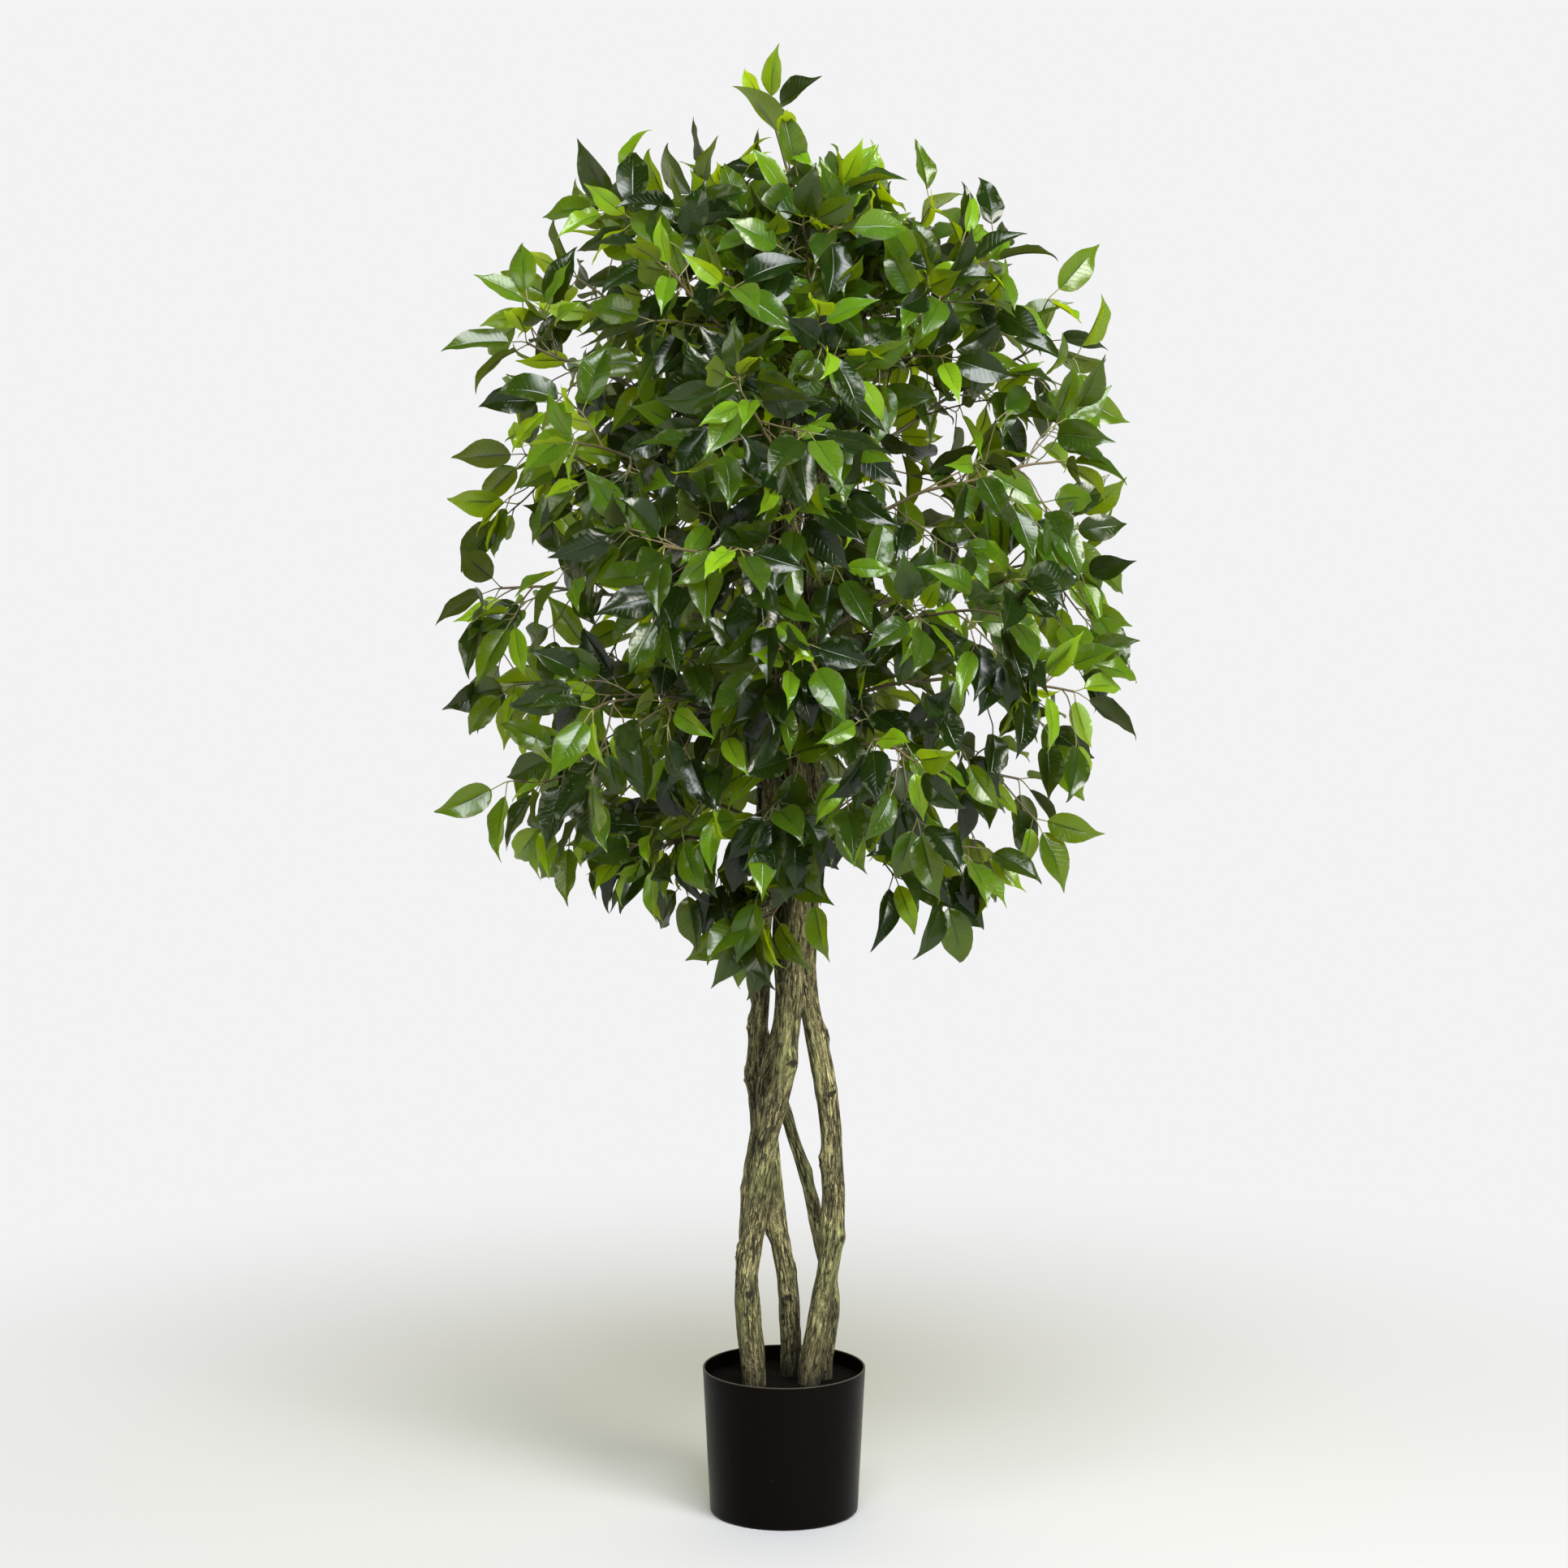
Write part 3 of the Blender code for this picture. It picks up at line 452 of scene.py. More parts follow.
def barkHeights(name):
    end = stemTop(name)
    fine = min(bark["fineUpTo"], end)
    heights = [stemFoot, 0.08, 0.13, fillTop - bark["belowFill"]]
    steps = round((fine - fillTop) / bark["fineStep"])
    heights += [fillTop + (fine - fillTop) * i / steps for i in range(steps + 1)]
    if end > fine:
        steps = round((end - fine) / bark["coarseStep"])
        heights += [fine + (end - fine) * (i + 1) / steps for i in range(steps)]
    return heights


def noiseAt(x, y, height, scales, shift=(0, 0, 0)):
    across, along = scales
    return noise.noise((x * across + shift[0], y * across + shift[1], height * along + shift[2]))


def barkAt(name, angle, height, radius, marks, shift):
    # how far the surface stands off the plain radius, and the crack and scar shares there
    x, y = radius * math.cos(angle), radius * math.sin(angle)
    bend = noiseAt(x, y, height, bark["bendGrain"], (shift, 0, 0)) * bark["wander"]
    x, y = x + bend * math.sin(angle), y - bend * math.cos(angle)
    line = noiseAt(x, y, height, bark["crackGrain"], (shift, 0, 0)) / bark["crackWidth"]
    broken = noiseAt(x, y, height, bark["breakGrain"], (0, 0, shift)) * 2.5 + 0.6
    crack = math.exp(-(line**2)) * (0.55 + 0.45 * clamped(broken))
    lump = noiseAt(x, y, height, bark["lumpGrain"], (0, shift, 0))
    off = lump * bark["lumps"] - crack * bark["crackDepth"]
    scar = 0.0
    for markHeight, markAngle, stand, size in marks:
        rise = height - markHeight
        if abs(rise) > bark["reachUp"]:
            continue
        turn = (angle - markAngle + math.pi) % math.tau - math.pi
        reach = (radius * turn) ** 2 + 0.75 * rise**2
        off += stand * bark["knotHeight"] * math.exp(-reach / (2 * bark["knotSize"] ** 2))
        edge = math.sqrt(reach) / (bark["scarSize"] * size)
        if edge < 1.6:
            wobble = 1 + 0.25 * noiseAt(x, y, height, bark["scarGrain"])
            inside = 1 / (1 + math.exp(9 * (edge * wobble - 0.85)))
            scar = max(scar, inside)
            off -= inside * bark["scarDepth"] * size * (0.6 + 0.4 * stand)
            off += bark["edgeHeight"] * size * math.exp(-(((edge - 1.15) / 0.22) ** 2))
    return off, crack, scar


def paintedShadeAt(name, point, others):
    # painted shade: darker towards the foot, where the stem goes down into the dark pot, and where
    # another stem stands close; the stem that stands behind the others is a little darker all over
    low = clamped(1 - (point.z - fillTop) / bark["footReach"])
    paintedShade = max(bark["stemShade"].get(name, 0.0), low * low * bark["footShade"])
    for centre, radius in others:
        near = clamped(1 - ((point - centre).length - radius) / bark["contactShadeReach"])
        paintedShade = max(paintedShade, near * near * bark["contactShade"])
    return paintedShade


def buildStem(name, material):
    sides, marks = bark["sides"], stemMarks(name)
    shift = bark["shift"] * list(stems).index(name)
    points, relief, rounds, lengths = [], [], [], []
    heights = barkHeights(name)
    for height in heights:
        centre = stemCentre(name, height)
        along = stemCentre(name, height + 0.004) - stemCentre(name, height - 0.004)
        along.normalize()
        sideX = (Vector((1, 0, 0)) - along * along.x).normalized()
        sideY = along.cross(sideX)
        radius = stemRadius(name, height)
        others = [
            (stemCentre(other, height), stemRadius(other, height))
            for other in stems if other != name and height < stemTop(other)
        ]
        for i in range(sides):
            angle = math.tau * i / sides
            off, crack, scar = -bark["sunk"], 0.0, 0.0
            if height >= fillTop - bark["belowFill"]:
                off, crack, scar = barkAt(name, angle, height, radius, marks, shift)
            out = sideX * math.cos(angle) + sideY * math.sin(angle)
            points.append(centre + out * (radius + off))
            # each vertex's height, and its painted shade
            lengths.append((height, paintedShadeAt(name, points[-1], others)))
            relief.append((crack, scar))
            rounds.append((radius * math.cos(angle) + shift, radius * math.sin(angle)))
    # the foot is flat, and the top a low cone
    top = len(points)
    points.append(stemCentre(name, heights[-1]) + upward * bark["topCone"])
    relief.append((0.6, 0.0))
    rounds.append((shift, 0.0))
    lengths.append((heights[-1], 0.0))
    faces = [tuple(reversed(range(sides)))]
    for row in range(0, top, sides):
        for i in range(sides):
            a, b = row + i, row + (i + 1) % sides
            isLast = row + sides == top
            faces.append((a, b, top) if isLast else (a, b, b + sides, a + sides))
    mesh = bpy.data.meshes.new(name)
    mesh.from_pydata(points, [], faces)
    addMaps(mesh, {"barkRelief": relief, "barkRound": rounds, "barkLengthAndShade": lengths})
    mesh.shade_smooth()
    mesh.update()
    title = "".join(word.title() for word in name.split("_")[1:])
    linkPiece("barked" + title + "Stem", mesh, [material], name)
    return len(faces)


# The fill: rough dark foam, a little below the rim, with a hole for each stem

fill = {
    "seatGap": 0.0003, "rings": 34, "segments": 120, "roughness": 0.0014, "edgeSink": 0.0012,
    "holeHeights": (0.10, 0.17), "holeSides": 32, "lumpScale": 210, "glintScale": 520,
    "fineGrain": 260, "coarseGrain": 90, "coarseShare": 0.6,
    "colour": (0.0008, 0.0006, 0.0005), "light": (0.0026, 0.0021, 0.0016), "glintShare": 0.66,
    "shine": 0.05,
}


def makeFillMaterial():
    material, tree = newMaterial("darkFoamFill")
    place = tree.place()
    lumps = tree.grain(place, fill["lumpScale"], 4.0, 0.65)
    colour = tree.ramp(lumps, (0.35, 0.75), (fill["colour"], fill["light"]))
    glints = tree.grain(place, fill["glintScale"], 1.0)
    roughness = tree.remap(glints, fill["glintShare"], 0.74, 0.92, 0.28)
    tree.finish(tree.surface(colour, roughness, tree.bump(lumps, 0.003), fill["shine"]))
    return material


def levelRing(shape, count, radius, heightAt, centre=(0, 0)):
    # new vertices evenly round the centre
    ring = []
    for i in range(count):
        angle = math.tau * i / count
        x, y = centre[0] + radius * math.cos(angle), centre[1] + radius * math.sin(angle)
        ring.append(shape.verts.new((x, y, heightAt(x, y))))
    return ring


def meshFrom(shape, name):
    mesh = bpy.data.meshes.new(name)
    shape.to_mesh(mesh)
    shape.free()
    return mesh


def foamHeight(x, y, share):
    # rough all over, and a little lower towards the pot's wall
    rough = noiseAt(x, y, 3.0, (fill["fineGrain"], 1))
    rough += fill["coarseShare"] * noiseAt(x, y, 9.0, (fill["coarseGrain"], 1))
    height = fillTop - fill["roughness"] + fill["roughness"] * 0.6 * rough
    return height - fill["edgeSink"] * share**8


def makeFoam():
    segments, rings = fill["segments"], fill["rings"]
    gap = fill["seatGap"] * 1.5
    inner = pot["footRadius"] - pot["wall"] - gap
    outer = inner + potSlope * fillTop
    floor = pot["floor"] + gap
    shape = bmesh.new()
    rows = []
    for k in range(1, rings + 1):
        share = k / rings
        ring = levelRing(shape, segments, outer * share, lambda x, y: foamHeight(x, y, share))
        rows.append(ring)
    foot = inner - pot["floorRounding"] + potSlope * floor
    rows.append(levelRing(shape, segments, foot, lambda x, y: floor))
    middle = shape.verts.new((0, 0, fillTop - fill["roughness"]))
    for i in range(segments):
        j = (i + 1) % segments
        shape.faces.new((middle, rows[0][i], rows[0][j]))
        for a, b in zip(rows, rows[1:]):
            shape.faces.new((a[i], b[i], b[j], a[j]))
    shape.faces.new(tuple(reversed(rows[-1])))
    return meshFrom(shape, "darkFill")


def makeHole(name):
    # what is cut out of the fill for a stem
    sides = fill["holeSides"]
    shape = bmesh.new()
    rings = []
    for height in (stemFoot - fill["seatGap"], *fill["holeHeights"]):
        radius, centre = stemRadius(name, height) + fill["seatGap"], stemCentre(name, height)
        rings.append(levelRing(shape, sides, radius, lambda x, y: height, centre))
    for a, b in zip(rings, rings[1:]):
        for i in range(sides):
            j = (i + 1) % sides
            shape.faces.new((a[i], a[j], b[j], b[i]))
    shape.faces.new(tuple(reversed(rings[0])))
    shape.faces.new(tuple(rings[-1]))
    return meshFrom(shape, "stemHole")


def buildFill():
    piece = linkPiece("darkFill", makeFoam(), [makeFillMaterial()], "fill")
    cutters = bpy.data.collections.new("stemHoles")
    bpy.context.scene.collection.children.link(cutters)
    for name in stems:
        cutters.objects.link(bpy.data.objects.new("stemHole", makeHole(name)))
    cut = piece.modifiers.new("StemHoles", "BOOLEAN")
    cut.operation, cut.operand_type, cut.solver = "DIFFERENCE", "COLLECTION", "EXACT"
    cut.collection = cutters
    drilled = modifiedMesh(piece, 50)
    piece.modifiers.clear()
    piece.data = drilled
    for cutter in list(cutters.objects):
        bpy.data.objects.remove(cutter, do_unlink=True)
    bpy.data.collections.remove(cutters)
    print("fill made:", len(drilled.polygons), "faces")


# The plan of the crown: where each spray ends, and how its wires and leaves grow.
# A pair is the range of a random draw.

crown = {
    "outlineEnds": [
        (-0.158, 0.060, 0.782), (-0.258, -0.080, 0.832), (-0.297, 0.090, 0.914),
        (-0.304, -0.060, 1.040), (-0.285, 0.080, 1.172), (-0.274, -0.070, 1.300),
        (-0.226, 0.090, 1.366), (-0.160, -0.060, 1.430), (-0.090, 0.050, 1.446),
        (0.195, -0.070, 0.752), (0.262, 0.090, 0.812), (0.312, -0.080, 0.928),
        (0.318, 0.060, 1.056), (0.292, -0.080, 1.176), (0.286, 0.070, 1.296),
        (0.212, -0.070, 1.380), (0.140, 0.070, 1.412), (0.050, -0.030, 1.450),
        (-0.012, 0.000, 1.548),
    ],
    "heights": (0.74, 0.82, 0.92, 1.04, 1.18, 1.30, 1.38, 1.44),
    "radii": (0.17, 0.25, 0.29, 0.30, 0.29, 0.27, 0.21, 0.09),
    "faceSprays": 25, "faceSpread": 58, "faceTurnStep": 0.382, "backTurnShift": 0.2,
    "heightScatter": 0.012, "reachScatter": (0.95, 1.05), "shortSpread": 20, "shortReach": 0.62,
    "lowEnd": (-0.015, -0.062, 0.684), "lowRoot": 0.700,
    "rootHeights": (0.735, 1.300), "endHeights": (0.742, 1.548),
    "seed": 310, "drawnAgain": {9: 1006, 11: 1007, 38: 1003},
    "topOut": Vector((0.2, -1, 0)), "nearAxis": 0.03, "nearUpright": 0.2,
    "topSpray": 18, "topTwigs": (0, 1, 2, 3), "lowLevel": 0.13, "lowTwigs": (0, 3, 5),
    "solidTwigs": (0, 3),
}
wire = {
    "pastAxis": 0.002, "socketStraight": 0.021, "radii": (0.0024, 0.0013),
    "climb": (18, 42), "droop": 0.62, "droopPower": 0.8, "start": 0.34, "end": 0.30,
    "arriveOut": 0.5, "arriveUp": 0.5,
    "crook": 0.0034, "crookPerMetre": 21, "crookSeed": 3, "sides": 8, "steps": 20,
    # dark colour, light colour and roughness
    "brownTwig": ((0.030, 0.021, 0.009), (0.118, 0.088, 0.042), 0.55),
    "oliveStalk": ((0.060, 0.062, 0.016), (0.150, 0.140, 0.040), 0.50),
    "fleckScale": 380, "fleckDepth": 0.0006,
}
twig = {
    "places": (0.16, 0.30, 0.44, 0.58, 0.72, 0.86), "lengths": (0.095, 0.055),
    "turn": math.radians(137.5), "angle": (38, 62), "scatter": (0.8, 1.2), "fullReach": 0.25,
    "reachShare": (0.45, 1.1), "rise": 0.12, "droop": 0.75, "arriveAlong": 0.8,
    "arriveOut": 0.25, "arriveDroop": 0.35, "start": 0.35, "end": 0.30,
    "radii": (0.0011, 0.0009), "sides": 6, "steps": 9,
}
extraLeaf = {"place": 0.5, "along": 0.6, "aside": 0.8, "young": 0.2}
innerShoot = {
    "places": (0.10, 0.28, 0.46, 0.64, 0.82), "length": (0.028, 0.060), "placeScatter": 0.06,
    "sidePlaces": (0.08, 0.20, 0.32, 0.44, 0.56, 0.68, 0.80, 0.90), "sideLength": (0.040, 0.085),
    "along": 0.55, "aside": 0.75, "hang": 0.30, "pair": 0.8, "bare": 0.10, "lowBare": 0.90,
    "radii": (0.00085, 0.00075), "sides": 6, "steps": 5, "seed": 4100,
    "denser": {1: 2, 4: 1, 11: 3, 12: 6, 13: 7, 14: 5, 15: 2}, "denserAt": (0.45, 0.95),
    "topPlaces": 3, "lowFront": 0.35, "lowFrontPlaces": (0.14, 0.24, 0.36),
}
innerLeaf = {
    "twigPlaces": (0.28, 0.76),
    "along": 0.55, "aside": 0.70, "hang": 0.60, "scatter": 0.25, "young": 0.16,
    "faceOut": 1.0, "faceUp": 0.45, "faceScatter": 0.6, "faceFront": 1.3,
}
cluster = {
    "roll": 1.5, "scatter": 0.15, "along": 0.75, "spread": (0.75, 1.15), "tilt": 0.3,
    "setBack": (0.001, 0.006), "youngAhead": 0.3, "youngAside": 0.28,
}
leafGrowth = {
    "mature": (0.068, 0.037, 0.019), "young": (0.058, 0.025, 0.014),
    "size": (0.88, 1.10), "width": (0.93, 1.05), "stalk": (0.8, 1.15), "bend": (0.15, 0.85),
    "faceUp": 0.4, "faceOut": 0.7, "faceScatter": 0.9,
}


def bezier(handles, t):
    a, b, c, d = handles
    u = 1 - t
    return a * u**3 + b * (3 * u * u * t) + c * (3 * u * t * t) + d * t**3


def bezierSlope(handles, t):
    a, b, c, d = handles
    u = 1 - t
    return ((b - a) * (3 * u * u) + (c - b) * (6 * u * t) + (d - c) * (3 * t * t)).normalized()


def levelSide(aim):
    side = aim.cross(upward)
    return side.normalized() if side.length > crown["nearUpright"] else Vector((1, 0, 0))


def randomVector(rng):
    return Vector((rng.uniform(-1, 1), rng.uniform(-1, 1), rng.uniform(-1, 1)))


def crownLevel(height):
    # 0 at the lowest ends of sprays, 1 at the highest
    low, high = crown["endHeights"]
    return clamped((height - low) / (high - low))


def levelValue(height, heights, values):
    for i in range(len(heights) - 1):
        if height <= heights[i + 1] or i == len(heights) - 2:
            share = clamped((height - heights[i]) / (heights[i + 1] - heights[i]))
            return values[i] + (values[i + 1] - values[i]) * share


def sprayEnds():
    ends = [Vector(end) for end in crown["outlineEnds"]]
    rng = random.Random(crown["seed"])
    low, high = crown["heights"][0], crown["heights"][-1]
    count = crown["faceSprays"]
    for i in range(count):
        height = low + (high - low) * (i + 0.5) / count
        height += rng.uniform(-crown["heightScatter"], crown["heightScatter"])
        side = -1 if i % 2 == 0 else 1
        short = i % 6 in (2, 5)
        turn = (i // 2 * crown["faceTurnStep"] + crown["backTurnShift"] * (side > 0)) % 1 * 2 - 1
        turn *= crown["shortSpread"] if short else crown["faceSpread"]
        angle = math.radians(90 * side + turn)
        radius = levelValue(height, crown["heights"], crown["radii"])
        radius *= crown["shortReach"] if short else rng.uniform(*crown["reachScatter"])
        ends.append(Vector((radius * math.cos(angle), radius * math.sin(angle), height)))
    return ends + [Vector(crown["lowEnd"])]


def facingStem(height, out):
    reaching = [name for name in drilledStems if stemTop(name) > height + drillBelowTop]
    return max(reaching, key=lambda name: stemCentre(name, height).dot(out))


def planLeaf(rng, start, aim, out, young=False):
    length, width, stalk = leafGrowth["young"] if young else leafGrowth["mature"]
    size = rng.uniform(*leafGrowth["size"])
    facing = upward * leafGrowth["faceUp"] + out * leafGrowth["faceOut"]
    facing += randomVector(rng) * leafGrowth["faceScatter"]
    return {
        "start": start,
        "aim": aim.normalized(),
        "facing": facing,
        "length": length * size,
        "width": width * size * rng.uniform(*leafGrowth["width"]),
        "stalk": stalk * rng.uniform(*leafGrowth["stalk"]),
        "bend": rng.uniform(*leafGrowth["bend"]),
        "young": young,
    }


def planCluster(rng, end, aim, out, droop):
    # three leaves at the end of a wire: one ahead and one to either side
    side = Quaternion(aim, rng.uniform(-cluster["roll"], cluster["roll"])) @ levelSide(aim)
    lift = side.cross(aim)
    sag = upward * -droop
    scatter = randomVector(rng) * cluster["scatter"]
    young = rng.random() < cluster["youngAhead"]
    leaves = [planLeaf(rng, end, aim + sag + scatter, out, young)]
    for sign in (-1, 1):
        spread = rng.uniform(*cluster["spread"])
        tilt = rng.uniform(-cluster["tilt"], cluster["tilt"])
        away = aim * cluster["along"] + side * (sign * spread) + lift * tilt + sag
        back = end - aim * rng.uniform(*cluster["setBack"])
        young = rng.random() < cluster["youngAside"]
        leaves.append(planLeaf(rng, back, away, out, young))
    for leaf in leaves:
        leaf["along"] = aim
    return leaves


def wireHandles(start, away, end, aim, length, form):
    # a curve that leaves the start one way and comes to the end another
    first, last = away * length * form["start"], aim * length * form["end"]
    return start, start + first, end - last, end


def planTwig(rng, stem, place, turn, droop, length):
    start = bezier(stem["handles"], place)
    along = bezierSlope(stem["handles"], place)
    side = Quaternion(along, turn) @ levelSide(along)
    angle = math.radians(rng.uniform(*twig["angle"]))
    away = along * math.cos(angle) + side * math.sin(angle)
    out = (stem["out"] + away).normalized()
    end = start + away * length + upward * (length * (twig["rise"] - twig["droop"] * droop))
    aim = (end - start).normalized() * twig["arriveAlong"] + stem["out"] * twig["arriveOut"]
    aim = (aim - upward * (twig["arriveDroop"] * droop)).normalized()
    handles = wireHandles(start, away, end, aim, length, twig)
    leaves = planCluster(rng, end, aim, out, droop)
    extraSide = Quaternion(aim, rng.uniform(0, math.tau)) @ levelSide(aim)
    extraAway = aim * extraLeaf["along"] + extraSide * extraLeaf["aside"] - upward * droop
    foot = bezier(handles, extraLeaf["place"])
    extra = planLeaf(rng, foot, extraAway, out, rng.random() < extraLeaf["young"])
    extra["along"] = bezierSlope(handles, extraLeaf["place"])
    return {"handles": handles, "out": out, "leaves": leaves + [extra]}


def planSpray(index, end, rootHeight):
    rng = random.Random(crown["drawnAgain"].get(index, crown["seed"] + 7 * index))
    out = Vector((end.x, end.y, 0))
    out = out.normalized() if out.length > crown["nearAxis"] else crown["topOut"].normalized()
    centre = stemCentre(facingStem(rootHeight, out), rootHeight)
    level = crownLevel(end.z)
    climb = math.radians(wire["climb"][0] + wire["climb"][1] * level)
    aim = out * math.cos(climb) + upward * math.sin(climb)
    foot = centre + aim * wire["pastAxis"]
    exitPoint = foot + aim * wire["socketStraight"]
    droop = wire["droop"] * (1 - level) ** wire["droopPower"]
    reach = (end - exitPoint).length
    arrive = (end - exitPoint).normalized() + out * wire["arriveOut"]
    arrive = (arrive + upward * (wire["arriveUp"] * level - droop)).normalized()
    main = {"handles": wireHandles(exitPoint, aim, end, arrive, reach, wire), "out": out}
    main["leaves"] = planCluster(rng, end, arrive, out, droop)
    turn = rng.uniform(0, math.tau)
    least, most = twig["reachShare"]
    twigs = []
    for i, place in enumerate(twig["places"]):
        share = i / (len(twig["places"]) - 1)
        length = twig["lengths"][0] + (twig["lengths"][1] - twig["lengths"][0]) * share
        length *= rng.uniform(*twig["scatter"])
        length *= min(max(reach / twig["fullReach"], least), most)
        twigs.append(planTwig(rng, main, place, turn, droop, length))
        # the twigs that the solids have keep their leaves as they are there
        if i not in crown["solidTwigs"]:
            for leaf in twigs[-1]["leaves"]:
                leaf["facing"] += turnedFront(out)
        turn += twig["turn"]
    # the tip stands alone, and the lowest sprays in front and behind are thin
    if index == crown["topSpray"]:
        twigs = [twigs[i] for i in crown["topTwigs"]]
    elif level < crown["lowLevel"] and index > crown["topSpray"]:
        twigs = [twigs[i] for i in crown["lowTwigs"]]
    return {"foot": foot, "main": main, "twigs": twigs}


def innerLeafAt(rng, foot, along, away, out, level):
    # a leaf that hangs more the lower it grows, and shows its face outward
    aim = along * innerLeaf["along"] + away * innerLeaf["aside"]
    aim += randomVector(rng) * innerLeaf["scatter"] - upward * (innerLeaf["hang"] * (1 - level))
    leaf = planLeaf(rng, foot, aim, out, rng.random() < innerLeaf["young"])
    facing = out * innerLeaf["faceOut"] + upward * innerLeaf["faceUp"]
    leaf["facing"] = facing + randomVector(rng) * innerLeaf["faceScatter"] + turnedFront(out)
    leaf["along"] = along
    return leaf


def turnedFront(out):
    # leaves at either side are spread out flat, so that the tree looks full from the front
    return Vector((0, -innerLeaf["faceFront"] * abs(out.x), 0))


def sproutAt(rng, handles, place, lowBare):
    # where and which way something grows from a wire, or None where the wire is bare
    place += rng.uniform(-1, 1) * innerShoot["placeScatter"]
    foot, along = bezier(handles, place), bezierSlope(handles, place)
    level = crownLevel(foot.z)
    away = Quaternion(along, rng.uniform(0, math.tau)) @ levelSide(along)
    if rng.random() < innerShoot["bare"] + lowBare * max(1 - 3 * level, 0):
        return None
    return foot, along, away, level


def growShoot(rng, out, lengths, foot, along, away, level):
    # a small shoot that ends in a pair of leaves
    aim = along * innerShoot["along"] + away * innerShoot["aside"]
    aim = (aim - upward * (innerShoot["hang"] * (1 - level))).normalized()
    length = rng.uniform(*lengths)
    end = foot + aim * length
    bend = foot + (along + aim).normalized() * (length * 0.4)
    cross = aim.cross(out).normalized()
    leaves = [
        innerLeafAt(rng, end, aim, cross * (sign * innerShoot["pair"]), out, level)
        for sign in (-1, 1)
    ]
    return {"handles": (foot, bend, end - aim * (length * 0.3), end), "leaves": leaves}


def addInnerGrowth(index, spray):
    # small shoots along the wire, and more leaves along its twigs
    rng = random.Random(innerShoot["seed"] + index)
    for shoot in spray["twigs"]:
        for place in innerLeaf["twigPlaces"]:
            sprout = sproutAt(rng, shoot["handles"], place, innerShoot["lowBare"])
            if sprout:
                foot, along, away, level = sprout
                leaf = innerLeafAt(rng, foot, along, away, shoot["out"], level)
                shoot["leaves"].append(leaf)
    handles, out = spray["main"]["handles"], spray["main"]["out"]
    places, lengths = innerShoot["places"], innerShoot["length"]
    # the sprays that end at the sides have no others in front of them, so they grow more
    if index < len(crown["outlineEnds"]):
        places, lengths = innerShoot["sidePlaces"], innerShoot["sideLength"]
        if index == crown["topSpray"]:
            places = places[:innerShoot["topPlaces"]]
        extra = innerShoot["denser"].get(index, 0)
        places += tuple(rng.uniform(*innerShoot["denserAt"]) for _ in range(extra))
    # the lowest wires are bare, apart from those that hide the stems from the front
    isFront = out.y < -0.5
    if isFront and crownLevel(handles[3].z) < innerShoot["lowFront"]:
        places += innerShoot["lowFrontPlaces"]
    lowBare = 0.0 if isFront else innerShoot["lowBare"]
    sprouts = (sproutAt(rng, handles, place, lowBare) for place in places)
    spray["smallTwigs"] = [growShoot(rng, out, lengths, *sprout) for sprout in sprouts if sprout]


def planCrown():
    # higher ends have higher roots, evenly spaced up the stems
    ends = sprayEnds()
    heights = sorted(end.z for end in ends[:-1])
    low, high = crown["rootHeights"]
    sprays = []
    for i, end in enumerate(ends[:-1]):
        rootHeight = low + (high - low) * heights.index(end.z) / (len(heights) - 1)
        sprays.append(planSpray(i, end, rootHeight))
    sprays.append(planSpray(len(ends) - 1, ends[-1], crown["lowRoot"]))
    for i, spray in enumerate(sprays):
        addInnerGrowth(i, spray)
    return sprays


# Leaves: a folded blade with a wavy edge, a drip tip that curls, and a raised rib below

leafForm = {
    "places": [0, 0.035, 0.10, 0.19, 0.30, 0.42, 0.54, 0.65, 0.75, 0.83, 0.90, 0.955],
    "widths": [0.05, 0.34, 0.66, 0.88, 0.99, 1.00, 0.90, 0.69, 0.42, 0.22, 0.115, 0.060],
    "narrow": 0.88,
    "across": (1, 0.62, 0.075, 0, -0.075, -0.62, -1),
    "under": (-0.62, -0.075, 0, 0.075, 0.62),
    "thickness": 0.00050, "rib": 0.00085, "ribEnd": 0.62, "ribFade": 0.12,
    "topRib": 0.00005,
    "fold": (0.25, 0.75), "round": (0.05, 0.32), "wave": (0.0008, 0.0026), "waves": (1.3, 2.7),
    "curl": (-0.2, 1.3), "curlFrom": 0.74, "sway": (-0.32, 0.32), "twist": (-0.35, 0.35),
    "stalkRadius": 0.00075, "stalkSides": 5, "intoBlade": 0.0012,
    "boxRoom": 0.0002, "leastFit": 0.78, "seed": 9000,
}
leafColours = {
    "deep": [(0.003, 0.011, 0.002), (0.006, 0.022, 0.003), (0.036, 0.100, 0.008)],
    "fresh": [(0.064, 0.160, 0.007), (0.098, 0.235, 0.009), (0.168, 0.320, 0.016)],
    "deepBelow": (0.034, 0.048, 0.010), "freshBelow": (0.110, 0.190, 0.022),
    "deepThrough": (0.640, 0.750, 0.016), "freshThrough": (0.860, 0.950, 0.044),
    "deepShare": 0.48, "freshShare": 0.58, "deepVein": 0.16, "freshVein": 0.40,
    "deepTint": (0.31, 1.04), "freshTint": (0.65, 0.40), "tintPower": 1.4,
    # painted light: leaves towards the crown's sides and top are drawn lighter
    "outerSide": 0.34, "outerTop": (1.20, 1.55), "outerGain": 0.50,
    "veinTurns": 78, "veinSweep": -0.14, "veinShade": 0.18, "mottleScale": 95,
    "shine": 0.70, "roughness": (0.52, 0.155), "roughMottle": 0.06,
    "reliefDepth": 0.0006, "bump": 0.25, "ribShade": 0.62,
}
up, down = 1.0, 0.0  # a face's side of the leaf
matureLeaf, youngLeaf, brownTwig, oliveStalk = range(4)  # the places of a spray's materials


